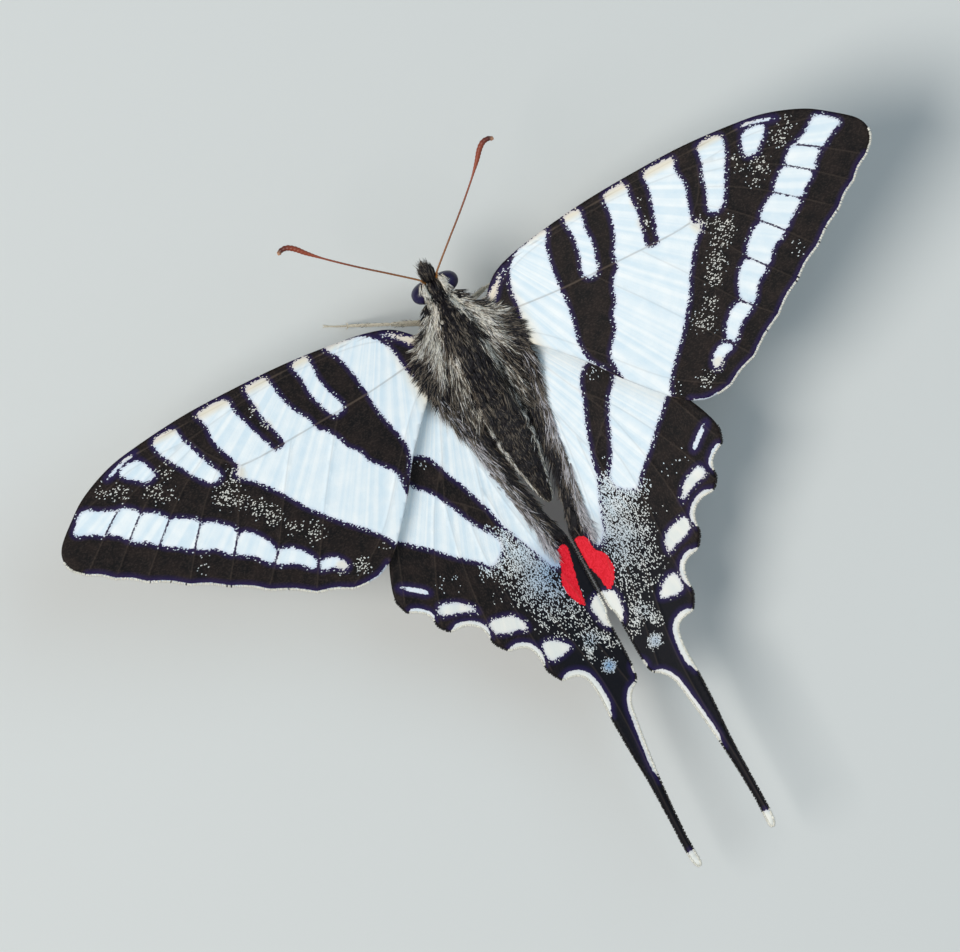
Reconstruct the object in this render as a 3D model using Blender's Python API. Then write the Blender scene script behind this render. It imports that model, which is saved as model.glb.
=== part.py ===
"""Zebra swallowtail butterfly at life size, standing on its six feet with all four wings spread.

The animal faces -Y with its left side towards +X, and its feet rest at the level of the origin.
Sizes are in millimetres here, with y counted from the middle of the thorax towards the tails,
and are turned to metres where a mesh is made.
"""
import math
import random

import bmesh
import bpy
from mathutils import Vector
from mathutils.geometry import delaunay_2d_cdt

MM = 0.001
GAP = 0.3                # space kept between neighbouring pieces
CENTRE_Y = 17.93         # the thorax lies this far ahead of the middle of the whole length

# Body, along its length: (y, height of the axis, half width, half height)
HEAD = [(-6.7, 9.5, 0.42, 0.5), (-6.25, 9.65, 0.6, 0.9), (-5.4, 9.8, 0.64, 1.2),
        (-4.75, 9.8, 0.64, 1.2), (-4.32, 9.7, 0.62, 0.95)]
THORAX = [(-4.0, 9.5, 0.9, 1.1), (-3.3, 9.4, 1.55, 1.85), (-2.0, 9.3, 2.0, 2.5),
          (0.0, 9.2, 2.15, 2.85), (2.2, 9.1, 2.15, 2.75), (3.9, 9.0, 1.95, 2.3), (4.9, 9.0, 1.7, 1.95)]
ABDOMEN = [(5.25, 9.0, 1.7, 1.85), (6.5, 9.0, 1.88, 1.95), (9.0, 8.9, 1.9, 1.9), (11.0, 8.75, 1.68, 1.7),
           (13.0, 8.55, 1.25, 1.35), (15.0, 8.25, 0.75, 0.85), (16.1, 8.05, 0.32, 0.38)]
ABDOMEN_RINGS = 8        # segments that show as shallow grooves
RING_GROOVE = 0.045      # depth of a groove, as a share of the radius

EYE_FLAT_X = 0.96        # inner face of an eye, beside the flat of the head
EYE_BULGE = 1.3
EYE_Y = -5.35
EYE_Z = 9.95
EYE_LENGTH = 2.0
EYE_HEIGHT = 2.25
EYE_RINGS = 6
EYE_SIDES = 14
HEAD_SIDES = 14
THORAX_SIDES = 16
ABDOMEN_SIDES = 14

# Wings
ROOT_X = 2.46            # root edge of every wing, one gap out from the side of the thorax
PLATE = 0.5              # thickness of the membrane
VEIN_RISE = 0.15         # how far a vein stands out of each face
VEIN_HALF = 0.24         # half the width of a vein at the membrane
FORE_Z = 10.5            # height of the forewing at its root
HIND_Z = 9.2
FORE_LIFT = math.radians(11.0)
HIND_LIFT = math.radians(10.0)
ARCH = 0.0012            # fall of a wing towards its tip, per mm squared
PITCH = 0.035            # fall of a wing towards the tail, per mm
CAMBER = 0.002           # fall of the forewing towards both of its long edges, per mm squared
MARGIN_STEP = 1.7        # longest stretch of margin between two points
VEIN_STEP = 2.3
TAIL_STEP = 2.6
CELL = 2.7               # spacing of the points that fill the membrane
CELL_ROW = 0.87          # distance between their rows, as a share of that
CELL_FRONT = -6.0        # y of the first row
CELL_SPAN = 60.0         # length and width that the rows cover
ROOM_X = [5.0, 8.0]      # how far out the space reaches that the hair leaves round a wing
FORE_ROOM_Y = (-6.5, 10.0)
HIND_ROOM_Y = (-0.2, 10.0)

# Left forewing: costa to apex, margin at the ends of its veins, then back to the root
FORE_COSTA = [(ROOT_X, -1.6), (3.3, -2.2), (5.0, -3.8), (7.0, -4.6), (10.0, -5.15), (15.0, -5.7),
              (20.0, -5.9), (25.0, -5.9), (30.0, -5.45), (33.0, -4.9), (36.0, -3.7), (38.0, -2.3),
              (39.7, -0.8), (40.2, 0.4), (39.9, 1.5), (38.9, 2.5)]
FORE_VEIN_ENDS = [(38.9, 2.5), (36.9, 3.95), (34.6, 5.5), (31.4, 7.5), (28.4, 9.3), (25.5, 11.2),
                  (21.9, 13.4), (18.9, 14.65)]
FORE_WAVE = 0.16         # how far the margin falls back between two vein ends
FORE_INNER = [(18.9, 14.65), (17.5, 14.8), (16.0, 14.6), (14.0, 13.3), (10.9, 9.8), (8.6, 6.7),
              (4.6, 2.5), (ROOT_X, 1.2)]
FORE_CELL_END = (25.4, -3.8)
FORE_VEINS = [
    [(2.9, -1.1), (5.0, -2.7), (8.0, -3.95), (12.0, -4.5), (18.0, -4.65), FORE_CELL_END],
    [(2.9, -0.2), (5.0, -0.4), (10.0, 0.1), (20.0, 0.5), (22.4, 0.4)],
    [FORE_CELL_END, (24.9, -2.5), (24.0, -1.1), (22.4, 0.4)],
    [FORE_CELL_END, (31.0, -3.9), (36.6, -2.6)],
    [FORE_CELL_END, (30.0, -2.6), (34.0, -1.15), (38.5, 2.1)],
    [(25.2, -3.1), (29.0, -1.9), (32.5, 0.1), (36.5, 3.6)],
    [(24.7, -2.0), (27.5, -0.5), (30.4, 1.65), (34.2, 5.0)],
    [(23.8, -0.8), (26.0, 1.0), (28.1, 3.2), (31.1, 7.0)],
    [(22.4, 0.4), (24.0, 2.8), (25.6, 5.5), (28.1, 8.8)],
    [(17.5, 0.45), (20.2, 4.2), (23.2, 8.55), (25.2, 10.8)],
    [(12.7, 0.25), (16.2, 4.9), (20.4, 11.0), (21.7, 13.0)],
    [(3.4, 0.9), (6.2, 2.6), (10.2, 6.9), (13.9, 11.1), (17.0, 13.4), (18.6, 14.3)],
]

# Left hindwing: hidden front edge, three lobes, tail, then the inner edge beside the abdomen
HIND_COSTA = [(ROOT_X, 0.5), (4.5, 0.9), (7.0, 2.2), (9.6, 4.4), (11.8, 7.2), (13.5, 10.3), (14.8, 13.4),
              (15.75, 15.6), (16.2, 17.3), (15.85, 18.75)]
HIND_LOBES = [(15.0, 19.15), (14.3, 19.75), (14.03, 20.5), (13.95, 21.2), (13.2, 22.05),
              (12.1, 22.15), (11.2, 22.55), (10.65, 23.2), (10.42, 24.0), (10.3, 24.9), (9.5, 25.95),
              (8.4, 26.25), (7.75, 26.75), (7.45, 27.5), (7.35, 28.4), (7.3, 29.3), (6.6, 30.5),
              (6.0, 30.65), (5.2, 30.85), (4.65, 31.4), (4.4, 32.3)]
HIND_TAIL_OUTER = [(4.3, 33.5), (4.35, 35.5), (4.3, 38.5), (4.12, 42.0), (4.1, 46.0), (4.12, 49.3),
                   (3.98, 50.5), (3.68, 50.85)]
HIND_TAIL_INNER = [(3.45, 50.4), (3.5, 48.0), (3.3, 44.0), (2.9, 40.0), (2.5, 37.0), (2.2, 35.3),
                   (1.6, 34.3), (0.85, 33.75)]
HIND_INNER = [(0.6, 33.0), (0.5, 31.0), (0.5, 28.4), (0.4, 27.4), (0.17, 26.6), (0.17, 23.5), (0.17, 20.4),
              (0.4, 18.8), (0.95, 17.0), (1.5, 15.0), (1.9, 13.0), (2.12, 11.0), (2.24, 8.5),
              (2.3, 6.0), (ROOT_X, 3.7)]
HIND_CELL_TOP = (8.2, 11.6)
HIND_CELL_LOW = (5.5, 14.2)
HIND_VEINS = [
    [(2.9, 1.2), (5.6, 2.7), (9.2, 5.9), (12.6, 10.6), (15.6, 17.9)],
    [(2.9, 1.9), (4.6, 4.2), (6.4, 7.8), HIND_CELL_TOP],
    [(2.9, 2.9), (3.6, 6.0), (4.3, 10.0), HIND_CELL_LOW],
    [HIND_CELL_TOP, (6.9, 12.7), HIND_CELL_LOW],
    [(6.6, 8.2), (9.4, 12.0), (12.0, 17.0), (13.7, 21.3)],
    [HIND_CELL_TOP, (9.3, 16.5), (9.9, 21.0), (9.9, 25.0)],
    [(6.9, 12.7), (7.4, 18.0), (7.2, 24.0), (7.0, 29.4)],
    [HIND_CELL_LOW, (5.4, 20.0), (4.5, 26.0), (3.5, 32.0), (3.4, 38.0), (3.75, 44.0), (3.85, 49.3)],
    [(4.8, 12.2), (4.2, 19.0), (2.9, 26.0), (1.5, 33.4)],
    [(4.1, 9.2), (3.4, 15.0), (2.2, 22.0), (0.95, 29.0)],
]

# Feelers, mouth and legs
LIMB_SIDES = 6
ANTENNA = [(0.62, -6.2, 10.85), (0.95, -6.6, 11.15), (3.0, -8.35, 12.1), (5.2, -10.2, 12.85),
           (7.2, -12.0, 13.45), (8.5, -13.3, 13.7), (9.2, -14.1, 13.8), (9.8, -14.55, 13.85),
           (10.4, -14.6, 13.85), (10.8, -14.35, 13.8)]
SHAFT_RADIUS = 0.25
CLUB_RADIUS = 0.36
CLUB_LENGTH = 3.6
CLUB_FALL = 0.8          # share of the club's swelling and fall that it has at its end
CLUB_END = 0.7           # radius of its end, as a share of the shaft's
PALP = [(0.45, -7.02, 9.15), (0.43, -7.35, 9.3), (0.4, -7.65, 9.65)]
PALP_RADII = [0.2, 0.27, 0.12]
TONGUE_ROOT = (0.0, -6.3, 8.42)
TONGUE_COIL_Y = -6.9
TONGUE_COIL_Z = 7.15
TONGUE_COIL_RADII = (1.15, 0.5)
TONGUE_START = math.radians(95.0)  # where it joins the coil, above the line that runs back from the middle
TONGUE_TURNS = 1.1
TONGUE_PARTS = 16
TONGUE_RADIUS = 0.2
TONGUE_TAPER = 0.4       # how much of its radius it loses by its tip
LEG_SIDES = 8
LEG_RADII = [0.42, 0.4, 0.33, 0.3, 0.27, 0.25, 0.25]
LEG_LONG = 2.0           # a part longer than this is divided near both of its ends
LEG_DIVIDE = (0.2, 0.8)
ROOM_SIDES = 12          # the spaces cut round the limbs' roots and the body's ends
ANTENNA_ROOT = 5         # how many of a limb's first points lie near the body
TONGUE_ROOT_POINTS = 3
LEG_ROOT = 3
FOOT_Z = 0.2             # axis of the foot, lower than its radius, which leaves a small flat at the floor
LEGS = {
    "leg_fore_left": (1, [(1.1, -2.4, 6.7), (1.5, -2.7, 5.9), (5.0, -4.4, 6.5), (7.9, -5.9, 1.8),
                          (8.5, -6.2, 0.6), (9.2, -6.55, FOOT_Z), (10.2, -7.1, FOOT_Z)]),
    "leg_fore_right": (-1, [(1.1, -2.4, 6.7), (1.5, -2.7, 5.9), (4.0, -3.3, 6.3), (5.6, -3.3, 1.8),
                            (6.0, -3.4, 0.6), (6.6, -3.55, FOOT_Z), (7.7, -3.8, FOOT_Z)]),
    "leg_mid_left": (1, [(1.25, 0.2, 6.5), (1.7, 0.3, 5.6), (5.0, 1.2, 6.6), (8.3, 2.3, 1.8),
                         (9.0, 2.5, 0.6), (9.8, 2.75, FOOT_Z), (11.1, 3.2, FOOT_Z)]),
    "leg_mid_right": (-1, [(1.25, 0.2, 6.5), (1.7, 0.3, 5.6), (5.0, 1.0, 6.6), (8.1, 1.7, 1.8),
                           (8.8, 1.8, 0.6), (9.6, 1.95, FOOT_Z), (10.9, 2.3, FOOT_Z)]),
    "leg_hind_left": (1, [(1.1, 2.6, 6.6), (1.5, 3.0, 5.8), (4.4, 6.0, 6.6), (7.2, 10.6, 1.8),
                          (7.6, 11.3, 0.6), (8.1, 12.1, FOOT_Z), (8.9, 13.5, FOOT_Z)]),
    "leg_hind_right": (-1, [(1.1, 2.6, 6.6), (1.5, 3.0, 5.8), (4.6, 6.1, 6.6), (7.5, 10.4, 1.8),
                            (8.0, 11.1, 0.6), (8.6, 11.9, FOOT_Z), (9.6, 13.2, FOOT_Z)]),
}

# Hair locks
LOCK_WIDTH = 1.35
LOCK_THICK = 0.5
LOCK_SINK = 0.45         # how deep a lock starts under the skin
LOCK_TAPER = [(0.0, 0.65), (0.3, 1.0), (0.6, 0.85), (0.85, 0.45), (1.0, 0.1)]   # share of length, of width
LOCK_EDGE = 0.3          # least thickness, as a share
LOCK_CLEAR = 0.25        # space under a lock, beyond the gap
LOCK_RISEN = 0.45        # share of its length by which it has come up from its root
SLOPE_REACH = 0.4        # how far to each side the slope under a lock is read
SLOPE_MOST = 1.2
LOCK_BEND = (0.62, 0.38, 0.5)      # share of its way out and back at the bend, and height there
LOCK_STRAY = 0.15        # how much locks differ in reach
SEED = 7
# Tiers of the thorax hair: (root x, first root y, last root y, number, reach sideways, reach backwards)
LOCK_TIERS = [(0.5, -2.8, 2.8, 4, 0.3, 3.0), (1.1, -3.2, 3.2, 5, 1.3, 3.2), (1.55, -2.8, 4.2, 6, 2.7, 3.2),
              (1.3, -3.5, -2.2, 2, 2.1, 0.5)]
# The head's tuft and crown: number of locks and width, then root, bend and tip of the outermost one
TUFT_LOCKS = 7
TUFT_WIDTH = 0.55
TUFT_LINE = [(0.3, -5.9, 9.9), (0.7, -6.9, 10.75), (0.75, -8.0, 10.2)]
TUFT_LIFTS = [0.1, 0.3, 0.35]      # how much higher every other lock lies at the same three places
TUFT_ROUND = 0.55        # how much shorter the outermost locks are
CROWN_LOCKS = 5
CROWN_WIDTH = 0.6
CROWN_LINE = [(0.25, -5.6, 10.3), (0.5, -5.4, 11.5), (0.7, -4.55, 11.55)]
HEAD_STRAY = 0.1


def place(x, y, z):
    """A point of the animal in metres."""
    return Vector((x * MM, (y - CENTRE_Y) * MM, z * MM))


def material(name, colour, roughness):
    mat = bpy.data.materials.new(name)
    mat.use_nodes = True
    shader = mat.node_tree.nodes["Principled BSDF"]
    shader.inputs["Base Color"].default_value = (*colour, 1.0)
    shader.inputs["Roughness"].default_value = roughness
    return mat


def add_object(name, points, faces, mat=None):
    """An object from points in millimetres, with its faces turned outward."""
    mesh = bpy.data.meshes.new(name)
    mesh.from_pydata([place(*p) for p in points], [], faces)
    work = bmesh.new()
    work.from_mesh(mesh)
    bmesh.ops.triangulate(work, faces=work.faces[:])
    bmesh.ops.recalc_face_normals(work, faces=work.faces[:])
    if work.calc_volume(signed=True) < 0:
        bmesh.ops.reverse_faces(work, faces=work.faces[:])
    work.to_mesh(mesh)
    work.free()
    obj = bpy.data.objects.new(name, mesh)
    bpy.context.scene.collection.objects.link(obj)
    if mat:
        mesh.materials.append(mat)
    return obj


def spline(points, steps):
    """Catmull-Rom curve through the points, each stretch divided as steps says."""
    tuples = [Vector(p) for p in points]
    ends = [tuples[0] * 2 - tuples[1]] + tuples + [tuples[-1] * 2 - tuples[-2]]
    curve = []
    for i in range(1, len(ends) - 2):
        a, b, c, d = ends[i - 1:i + 3]
        count = steps if isinstance(steps, int) else max(1, math.ceil((c - b).length / steps))
        for k in range(count):
            t = k / count
            curve.append(0.5 * (2 * b + (c - a) * t + (2 * a - 5 * b + 4 * c - d) * t * t
                                + (3 * b - a - 3 * c + d) * t ** 3))
    return curve + [tuples[-1]]


def ring_faces(rings, sides):
    """Faces of a tube of equal rings, with both of its ends closed."""
    faces = []
    for r in range(rings - 1):
        for s in range(sides):
            a, b = r * sides + s, r * sides + (s + 1) % sides
            faces.append((a, b, b + sides, a + sides))
    faces.append(tuple(range(sides)))
    faces.append(tuple((rings - 1) * sides + s for s in range(sides)))
    return faces


def loft(stations, sides, steps, grow=0.0, groove=None):
    """Points and faces of a body along y, of rounded sections; grow makes it fatter and longer."""
    rows = spline(stations, steps)
    points = []
    for i, (y, z, half_width, half_height) in enumerate(rows):
        swell = 1.0 if groove is None else groove(i / (len(rows) - 1))
        y += grow * (-1 if i == 0 else 1 if i == len(rows) - 1 else 0)
        for s in range(sides):
            turn = 2 * math.pi * (s + 0.5) / sides
            points.append(((half_width * swell + grow) * math.cos(turn), y,
                           z + (half_height * swell + grow) * math.sin(turn)))
    return points, ring_faces(len(rows), sides)


def tube(path, radii, sides, grow=0.0, floor=False):
    """Points and faces of a round limb along a path, no lower than the floor."""
    path = [Vector(p) for p in path]
    if grow:
        path[0] = path[0] - (path[1] - path[0]).normalized() * grow
        path[-1] = path[-1] + (path[-1] - path[-2]).normalized() * grow
    points = []
    side = None
    for i, centre in enumerate(path):
        ahead = (path[min(i + 1, len(path) - 1)] - path[max(i - 1, 0)]).normalized()
        if side is None:
            side = ahead.cross(Vector((0.0, 0.0, 1.0))).normalized()
        side = (side - ahead * side.dot(ahead)).normalized()
        up = ahead.cross(side)
        for s in range(sides):
            turn = 2 * math.pi * (s + 0.5) / sides
            p = centre + (side * math.cos(turn) + up * math.sin(turn)) * (radii[i] + grow)
            if floor:
                p.z = max(p.z, 0.0)
            points.append(tuple(p))
    return points, ring_faces(len(path), sides)


def mirrored(points, side):
    return [(x * side, y, z) for x, y, z in points]


def resample_radii(radii, count):
    """The radii read at count even places."""
    values = []
    for i in range(count):
        t = i / (count - 1) * (len(radii) - 1)
        k = min(int(t), len(radii) - 2)
        values.append(radii[k] + (radii[k + 1] - radii[k]) * (t - k))
    return values


def read_stations(stations, y):
    """Height of the axis, half width and half height of a body at one place along it."""
    for a, b in zip(stations, stations[1:]):
        if a[0] <= y <= b[0]:
            t = (y - a[0]) / (b[0] - a[0])
            return [a[k] + (b[k] - a[k]) * t for k in (1, 2, 3)]
    return None


def ground(x, y):
    """Height of what lies under the hair: the thorax, the abdomen or the wings beside them."""
    heights = []
    for stations in (THORAX, ABDOMEN):
        read = read_stations(stations, y)
        if read and x < read[1]:
            heights.append(read[0] + read[2] * math.sqrt(1.0 - (x / read[1]) ** 2))
    behind = (y - FORE_INNER[-1][1] - (x - ROOT_X) * 0.6) / 4.0
    share = max(0.0, min(1.0, behind))
    over_wing = fore_height(x, y) * (1.0 - share) + hind_height(x, y) * share
    return max(heights + [over_wing + PLATE / 2 + VEIN_RISE])


def lock_shape(root, bend, tip, width, laid=False):
    """Points and faces of one flat lock: it leaves the root, bends and tapers to its tip.

    A laid lock takes its height from what is under it and lies flat along that.
    """
    root, bend, tip = Vector(root), Vector(bend), Vector(tip)
    line = [root * (1 - t) ** 2 + bend * 2 * t * (1 - t) + tip * t * t for t, _ in LOCK_TAPER]
    normals = []
    for (t, _), p in zip(LOCK_TAPER, line):
        normal = Vector((0.0, 0.0, 1.0))
        if laid:
            inner = ground(max(p.x - SLOPE_REACH, 0.0), p.y)
            slope = (ground(p.x + SLOPE_REACH, p.y) - inner) / (2 * SLOPE_REACH)
            normal = Vector((-max(-SLOPE_MOST, min(SLOPE_MOST, slope)), 0.0, 1.0)).normalized()
            lift = LOCK_THICK / 2 + GAP + LOCK_CLEAR
            p.z += ground(p.x, p.y) - LOCK_SINK + (lift + LOCK_SINK) * min(1.0, t / LOCK_RISEN)
        normals.append(normal)
    points = []
    for i, (_, share) in enumerate(LOCK_TAPER):
        ahead = (line[min(i + 1, len(line) - 1)] - line[max(i - 1, 0)]).normalized()
        across = ahead.cross(normals[i]).normalized()
        up = across.cross(ahead)
        for sign_across, sign_up in ((1, 0), (0, 1), (-1, 0), (0, -1)):
            points.append(tuple(line[i] + across * sign_across * width / 2 * share
                                + up * sign_up * LOCK_THICK / 2 * max(share, LOCK_EDGE)))
    return points, ring_faces(len(LOCK_TAPER), 4)


def use_boolean(obj, pieces, operation):
    """Joins or cuts the object by closed pieces in one step and keeps its largest closed surface."""
    group = bpy.data.collections.new("pieces")
    bpy.context.scene.collection.children.link(group)
    for piece in pieces:
        bpy.context.scene.collection.objects.unlink(piece)
        group.objects.link(piece)
    step = obj.modifiers.new(operation.lower(), "BOOLEAN")
    step.operation = operation
    step.solver = "EXACT"
    step.operand_type = "COLLECTION"
    step.collection = group
    bpy.context.view_layer.update()
    depsgraph = bpy.context.evaluated_depsgraph_get()
    mesh = bpy.data.meshes.new_from_object(obj.evaluated_get(depsgraph))
    obj.modifiers.clear()
    old = obj.data
    obj.data = mesh
    mesh.name = obj.name
    bpy.data.meshes.remove(old)
    for piece in list(group.objects):
        bpy.data.objects.remove(piece)
    bpy.data.collections.remove(group)
    keep_largest(mesh)


def keep_largest(mesh):
    """Removes every closed surface but the largest, and points that no face uses."""
    work = bmesh.new()
    work.from_mesh(mesh)
    bmesh.ops.triangulate(work, faces=work.faces[:])
    bmesh.ops.dissolve_degenerate(work, dist=0.000001, edges=work.edges[:])
    bmesh.ops.triangulate(work, faces=work.faces[:])
    left = set(work.faces)
    shells = []
    while left:
        front = [left.pop()]
        shell = list(front)
        while front:
            face = front.pop()
            for edge in face.edges:
                for other in edge.link_faces:
                    if other in left and len(edge.link_faces) == 2:
                        left.remove(other)
                        front.append(other)
                        shell.append(other)
        shells.append(shell)
    shells.sort(key=len, reverse=True)
    drop = [face for shell in shells[1:] for face in shell]
    bmesh.ops.delete(work, geom=drop, context="FACES")
    work.to_mesh(mesh)
    work.free()


def fore_height(x, y):
    run = x - ROOT_X
    return FORE_Z + math.tan(FORE_LIFT) * run - ARCH * run * run - PITCH * y - CAMBER * (y - 3.0) ** 2


def hind_height(x, y):
    run = x - ROOT_X
    return HIND_Z + math.tan(HIND_LIFT) * run - ARCH * run * run - PITCH * y


def fore_outline():
    margin = spline(FORE_COSTA, MARGIN_STEP)
    for a, b in zip(FORE_VEIN_ENDS, FORE_VEIN_ENDS[1:]):
        a, b = Vector(a), Vector(b)
        back = Vector((a.y - b.y, b.x - a.x)).normalized() * FORE_WAVE
        margin.append((a + b) / 2 + back)
        margin.append(b)
    return margin + spline(FORE_INNER, MARGIN_STEP)[1:]


def hind_outline():
    margin = spline(HIND_COSTA, MARGIN_STEP)
    margin += spline(HIND_LOBES, 1)
    margin += spline(HIND_TAIL_OUTER, TAIL_STEP)
    margin += spline(HIND_TAIL_INNER, TAIL_STEP)
    return margin + spline(HIND_INNER, MARGIN_STEP)


def distance_to_line(p, line):
    best = 1e9
    for a, b in zip(line, line[1:]):
        run = b - a
        t = max(0.0, min(1.0, (p - a).dot(run) / run.length_squared))
        best = min(best, (p - a - run * t).length)
    return best


def inside(p, outline):
    odd = False
    for a, b in zip(outline, outline[1:] + outline[:1]):
        if (a.y > p.y) != (b.y > p.y) and p.x < a.x + (b.x - a.x) * (p.y - a.y) / (b.y - a.y):
            odd = not odd
    return odd


def wing(name, side, outline, veins, height, mat):
    """One wing: a plate cut into the same triangles on both faces, with its veins raised in it."""
    closed = outline + outline[:1]
    points = list(outline)
    edges = [(i, (i + 1) % len(outline)) for i in range(len(outline))]
    lines = [spline(vein, VEIN_STEP) for vein in veins]
    for line in lines:
        edges += [(len(points) + i, len(points) + i + 1) for i in range(len(line) - 1)]
        points += line
    for n, line in enumerate(lines):
        for turn in (1, -1):
            last = None
            for i, p in enumerate(line):
                run = (line[min(i + 1, len(line) - 1)] - line[max(i - 1, 0)]).normalized()
                q = p + Vector((-run.y, run.x)) * VEIN_HALF * turn
                clear = all(distance_to_line(q, other) > VEIN_HALF * 1.6
                            for m, other in enumerate(lines) if m != n)
                clear = clear and inside(q, outline) and distance_to_line(q, closed) > VEIN_HALF * 0.8
                if not clear:
                    last = None
                    continue
                if last is not None:
                    edges.append((last, len(points)))
                last = len(points)
                points.append(q)
    rows = int(CELL_SPAN / CELL)
    for row in range(rows):
        for column in range(rows):
            q = Vector((column * CELL + (row % 2) * CELL / 2, row * CELL * CELL_ROW + CELL_FRONT))
            if not inside(q, outline) or distance_to_line(q, closed) < CELL * 0.45:
                continue
            if all(distance_to_line(q, line) > CELL * 0.45 for line in lines):
                points.append(q)
    flat, _, triangles, *_ = delaunay_2d_cdt(points, edges, [], 1, 0.00001)
    rise = [VEIN_RISE * max(0.0, 1.0 - min(distance_to_line(p, line) for line in lines) / VEIN_HALF)
            for p in flat]
    count = len(flat)
    solid = []
    for face in (1, -1):
        for p, up in zip(flat, rise):
            solid.append((p.x * side, p.y, height(p.x, p.y) + face * (PLATE / 2 + up)))
    faces = [tuple(t) for t in triangles]
    faces += [tuple(i + count for i in reversed(t)) for t in triangles]
    uses = {}
    for t in triangles:
        for a, b in zip(t, t[1:] + t[:1]):
            uses[(a, b)] = True
    for a, b in uses:
        if (b, a) not in uses:
            faces.append((b, a, a + count))
            faces.append((b, a + count, b + count))
    return add_object(name, solid, faces, mat)


def wing_room(side, height, y_from, y_to):
    """The space that the thorax and its hair leave round a wing's root."""
    xs = [ROOT_X - GAP] + ROOM_X
    ys = [y_from, (y_from + y_to) / 2, y_to]
    thick = PLATE / 2 + VEIN_RISE + GAP
    points = []
    for face in (1, -1):
        points += [(x * side, y, height(x, y) + face * thick) for y in ys for x in xs]
    faces = []
    for j in range(2):
        for i in range(2):
            a = j * 3 + i
            faces.append((a, a + 1, a + 4, a + 3))
            faces.append((a + 9, a + 12, a + 13, a + 10))
    rim = [0, 1, 2, 5, 8, 7, 6, 3]
    for a, b in zip(rim, rim[1:] + rim[:1]):
        faces.append((a, b, b + 9, a + 9))
    return add_object("room", points, faces)


def eye_shape(side, grow=0.0):
    """Points and faces of an eye: a dome on the flat side of the head."""
    points = []
    for r in range(EYE_RINGS):
        lift = math.pi / 2 * r / EYE_RINGS
        for s in range(EYE_SIDES):
            turn = 2 * math.pi * s / EYE_SIDES
            points.append(((EYE_FLAT_X - grow + (EYE_BULGE + grow * 2) * math.sin(lift)) * side,
                           EYE_Y + (EYE_LENGTH / 2 + grow) * math.cos(lift) * math.cos(turn),
                           EYE_Z + (EYE_HEIGHT / 2 + grow) * math.cos(lift) * math.sin(turn)))
    faces = ring_faces(EYE_RINGS, EYE_SIDES)[:-1]
    points.append(((EYE_FLAT_X + grow + EYE_BULGE) * side, EYE_Y, EYE_Z))
    last = (EYE_RINGS - 1) * EYE_SIDES
    for s in range(EYE_SIDES):
        faces.append((last + s, last + (s + 1) % EYE_SIDES, last + EYE_SIDES))
    return points, faces


def antenna_shape(grow=0.0, upto=None):
    whole = spline(ANTENNA, 2)
    path = whole[:upto]
    length = [0.0]
    for a, b in zip(whole, whole[1:]):
        length.append(length[-1] + (b - a).length)
    radii = []
    for at in length[:len(path)]:
        share = max(0.0, 1.0 - (length[-1] - at) / CLUB_LENGTH)
        radii.append(SHAFT_RADIUS + (CLUB_RADIUS - SHAFT_RADIUS) * math.sin(math.pi * share * CLUB_FALL))
    if upto is None:
        radii[-1] = SHAFT_RADIUS * CLUB_END
    return tube(path, radii, LIMB_SIDES, grow)


def leg_path(points):
    """A leg bends sharply at its knee and ankle, so only its long parts are divided."""
    path = []
    for a, b in zip(points, points[1:]):
        a, b = Vector(a), Vector(b)
        path.append(a)
        if (b - a).length > LEG_LONG:
            path += [a.lerp(b, share) for share in LEG_DIVIDE]
    return path + [Vector(points[-1])]


def leg_shape(points, grow=0.0, upto=None):
    path = leg_path(points)
    radii = resample_radii(LEG_RADII, len(path))[:upto]
    return tube(path[:upto], radii, LEG_SIDES, grow, floor=not grow)


def tongue_shape(grow=0.0, upto=None):
    """The coiled tongue: it leaves the mouth, runs ahead and winds down and back under the head."""
    path = [Vector(TONGUE_ROOT)]
    for i in range(TONGUE_PARTS + 1):
        share = i / TONGUE_PARTS
        turn = TONGUE_START + share * TONGUE_TURNS * 2 * math.pi
        radius = TONGUE_COIL_RADII[0] + (TONGUE_COIL_RADII[1] - TONGUE_COIL_RADII[0]) * share
        y = TONGUE_COIL_Y + radius * math.cos(turn)
        path.append(Vector((0.0, y, TONGUE_COIL_Z + radius * math.sin(turn))))
    radii = [TONGUE_RADIUS * (1.0 - TONGUE_TAPER * i / TONGUE_PARTS) for i in range(len(path))]
    return tube(path[:upto], radii[:upto], LIMB_SIDES, grow)


def thorax_locks():
    """Hair of the thorax: a collar beside the head, then tiers that stream back over the wings."""
    draw = random.Random(SEED)
    shapes = []
    for tier, (out, first, last, count, spread, stream) in enumerate(LOCK_TIERS):
        for side in (1, -1):
            for i in range(count):
                y = first + (last - first) * (i + 0.5 * (tier % 2) + draw.uniform(-0.2, 0.2)) / count
                x = out + draw.uniform(-0.1, 0.1)
                tip_x = x + spread * draw.uniform(1.0 - LOCK_STRAY, 1.0 + LOCK_STRAY)
                tip_y = y + stream * draw.uniform(1.0 - LOCK_STRAY, 1.0 + LOCK_STRAY)
                bend = (x + (tip_x - x) * LOCK_BEND[0], y + (tip_y - y) * LOCK_BEND[1], LOCK_BEND[2])
                lift = draw.uniform(0.0, 0.3) * (1 + tier % 2)
                width = LOCK_WIDTH * draw.uniform(0.85, 1.2)
                points, faces = lock_shape((x, y, 0.0), bend, (tip_x, tip_y, lift), width, True)
                shapes.append((mirrored(points, side), faces))
    return shapes


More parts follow.
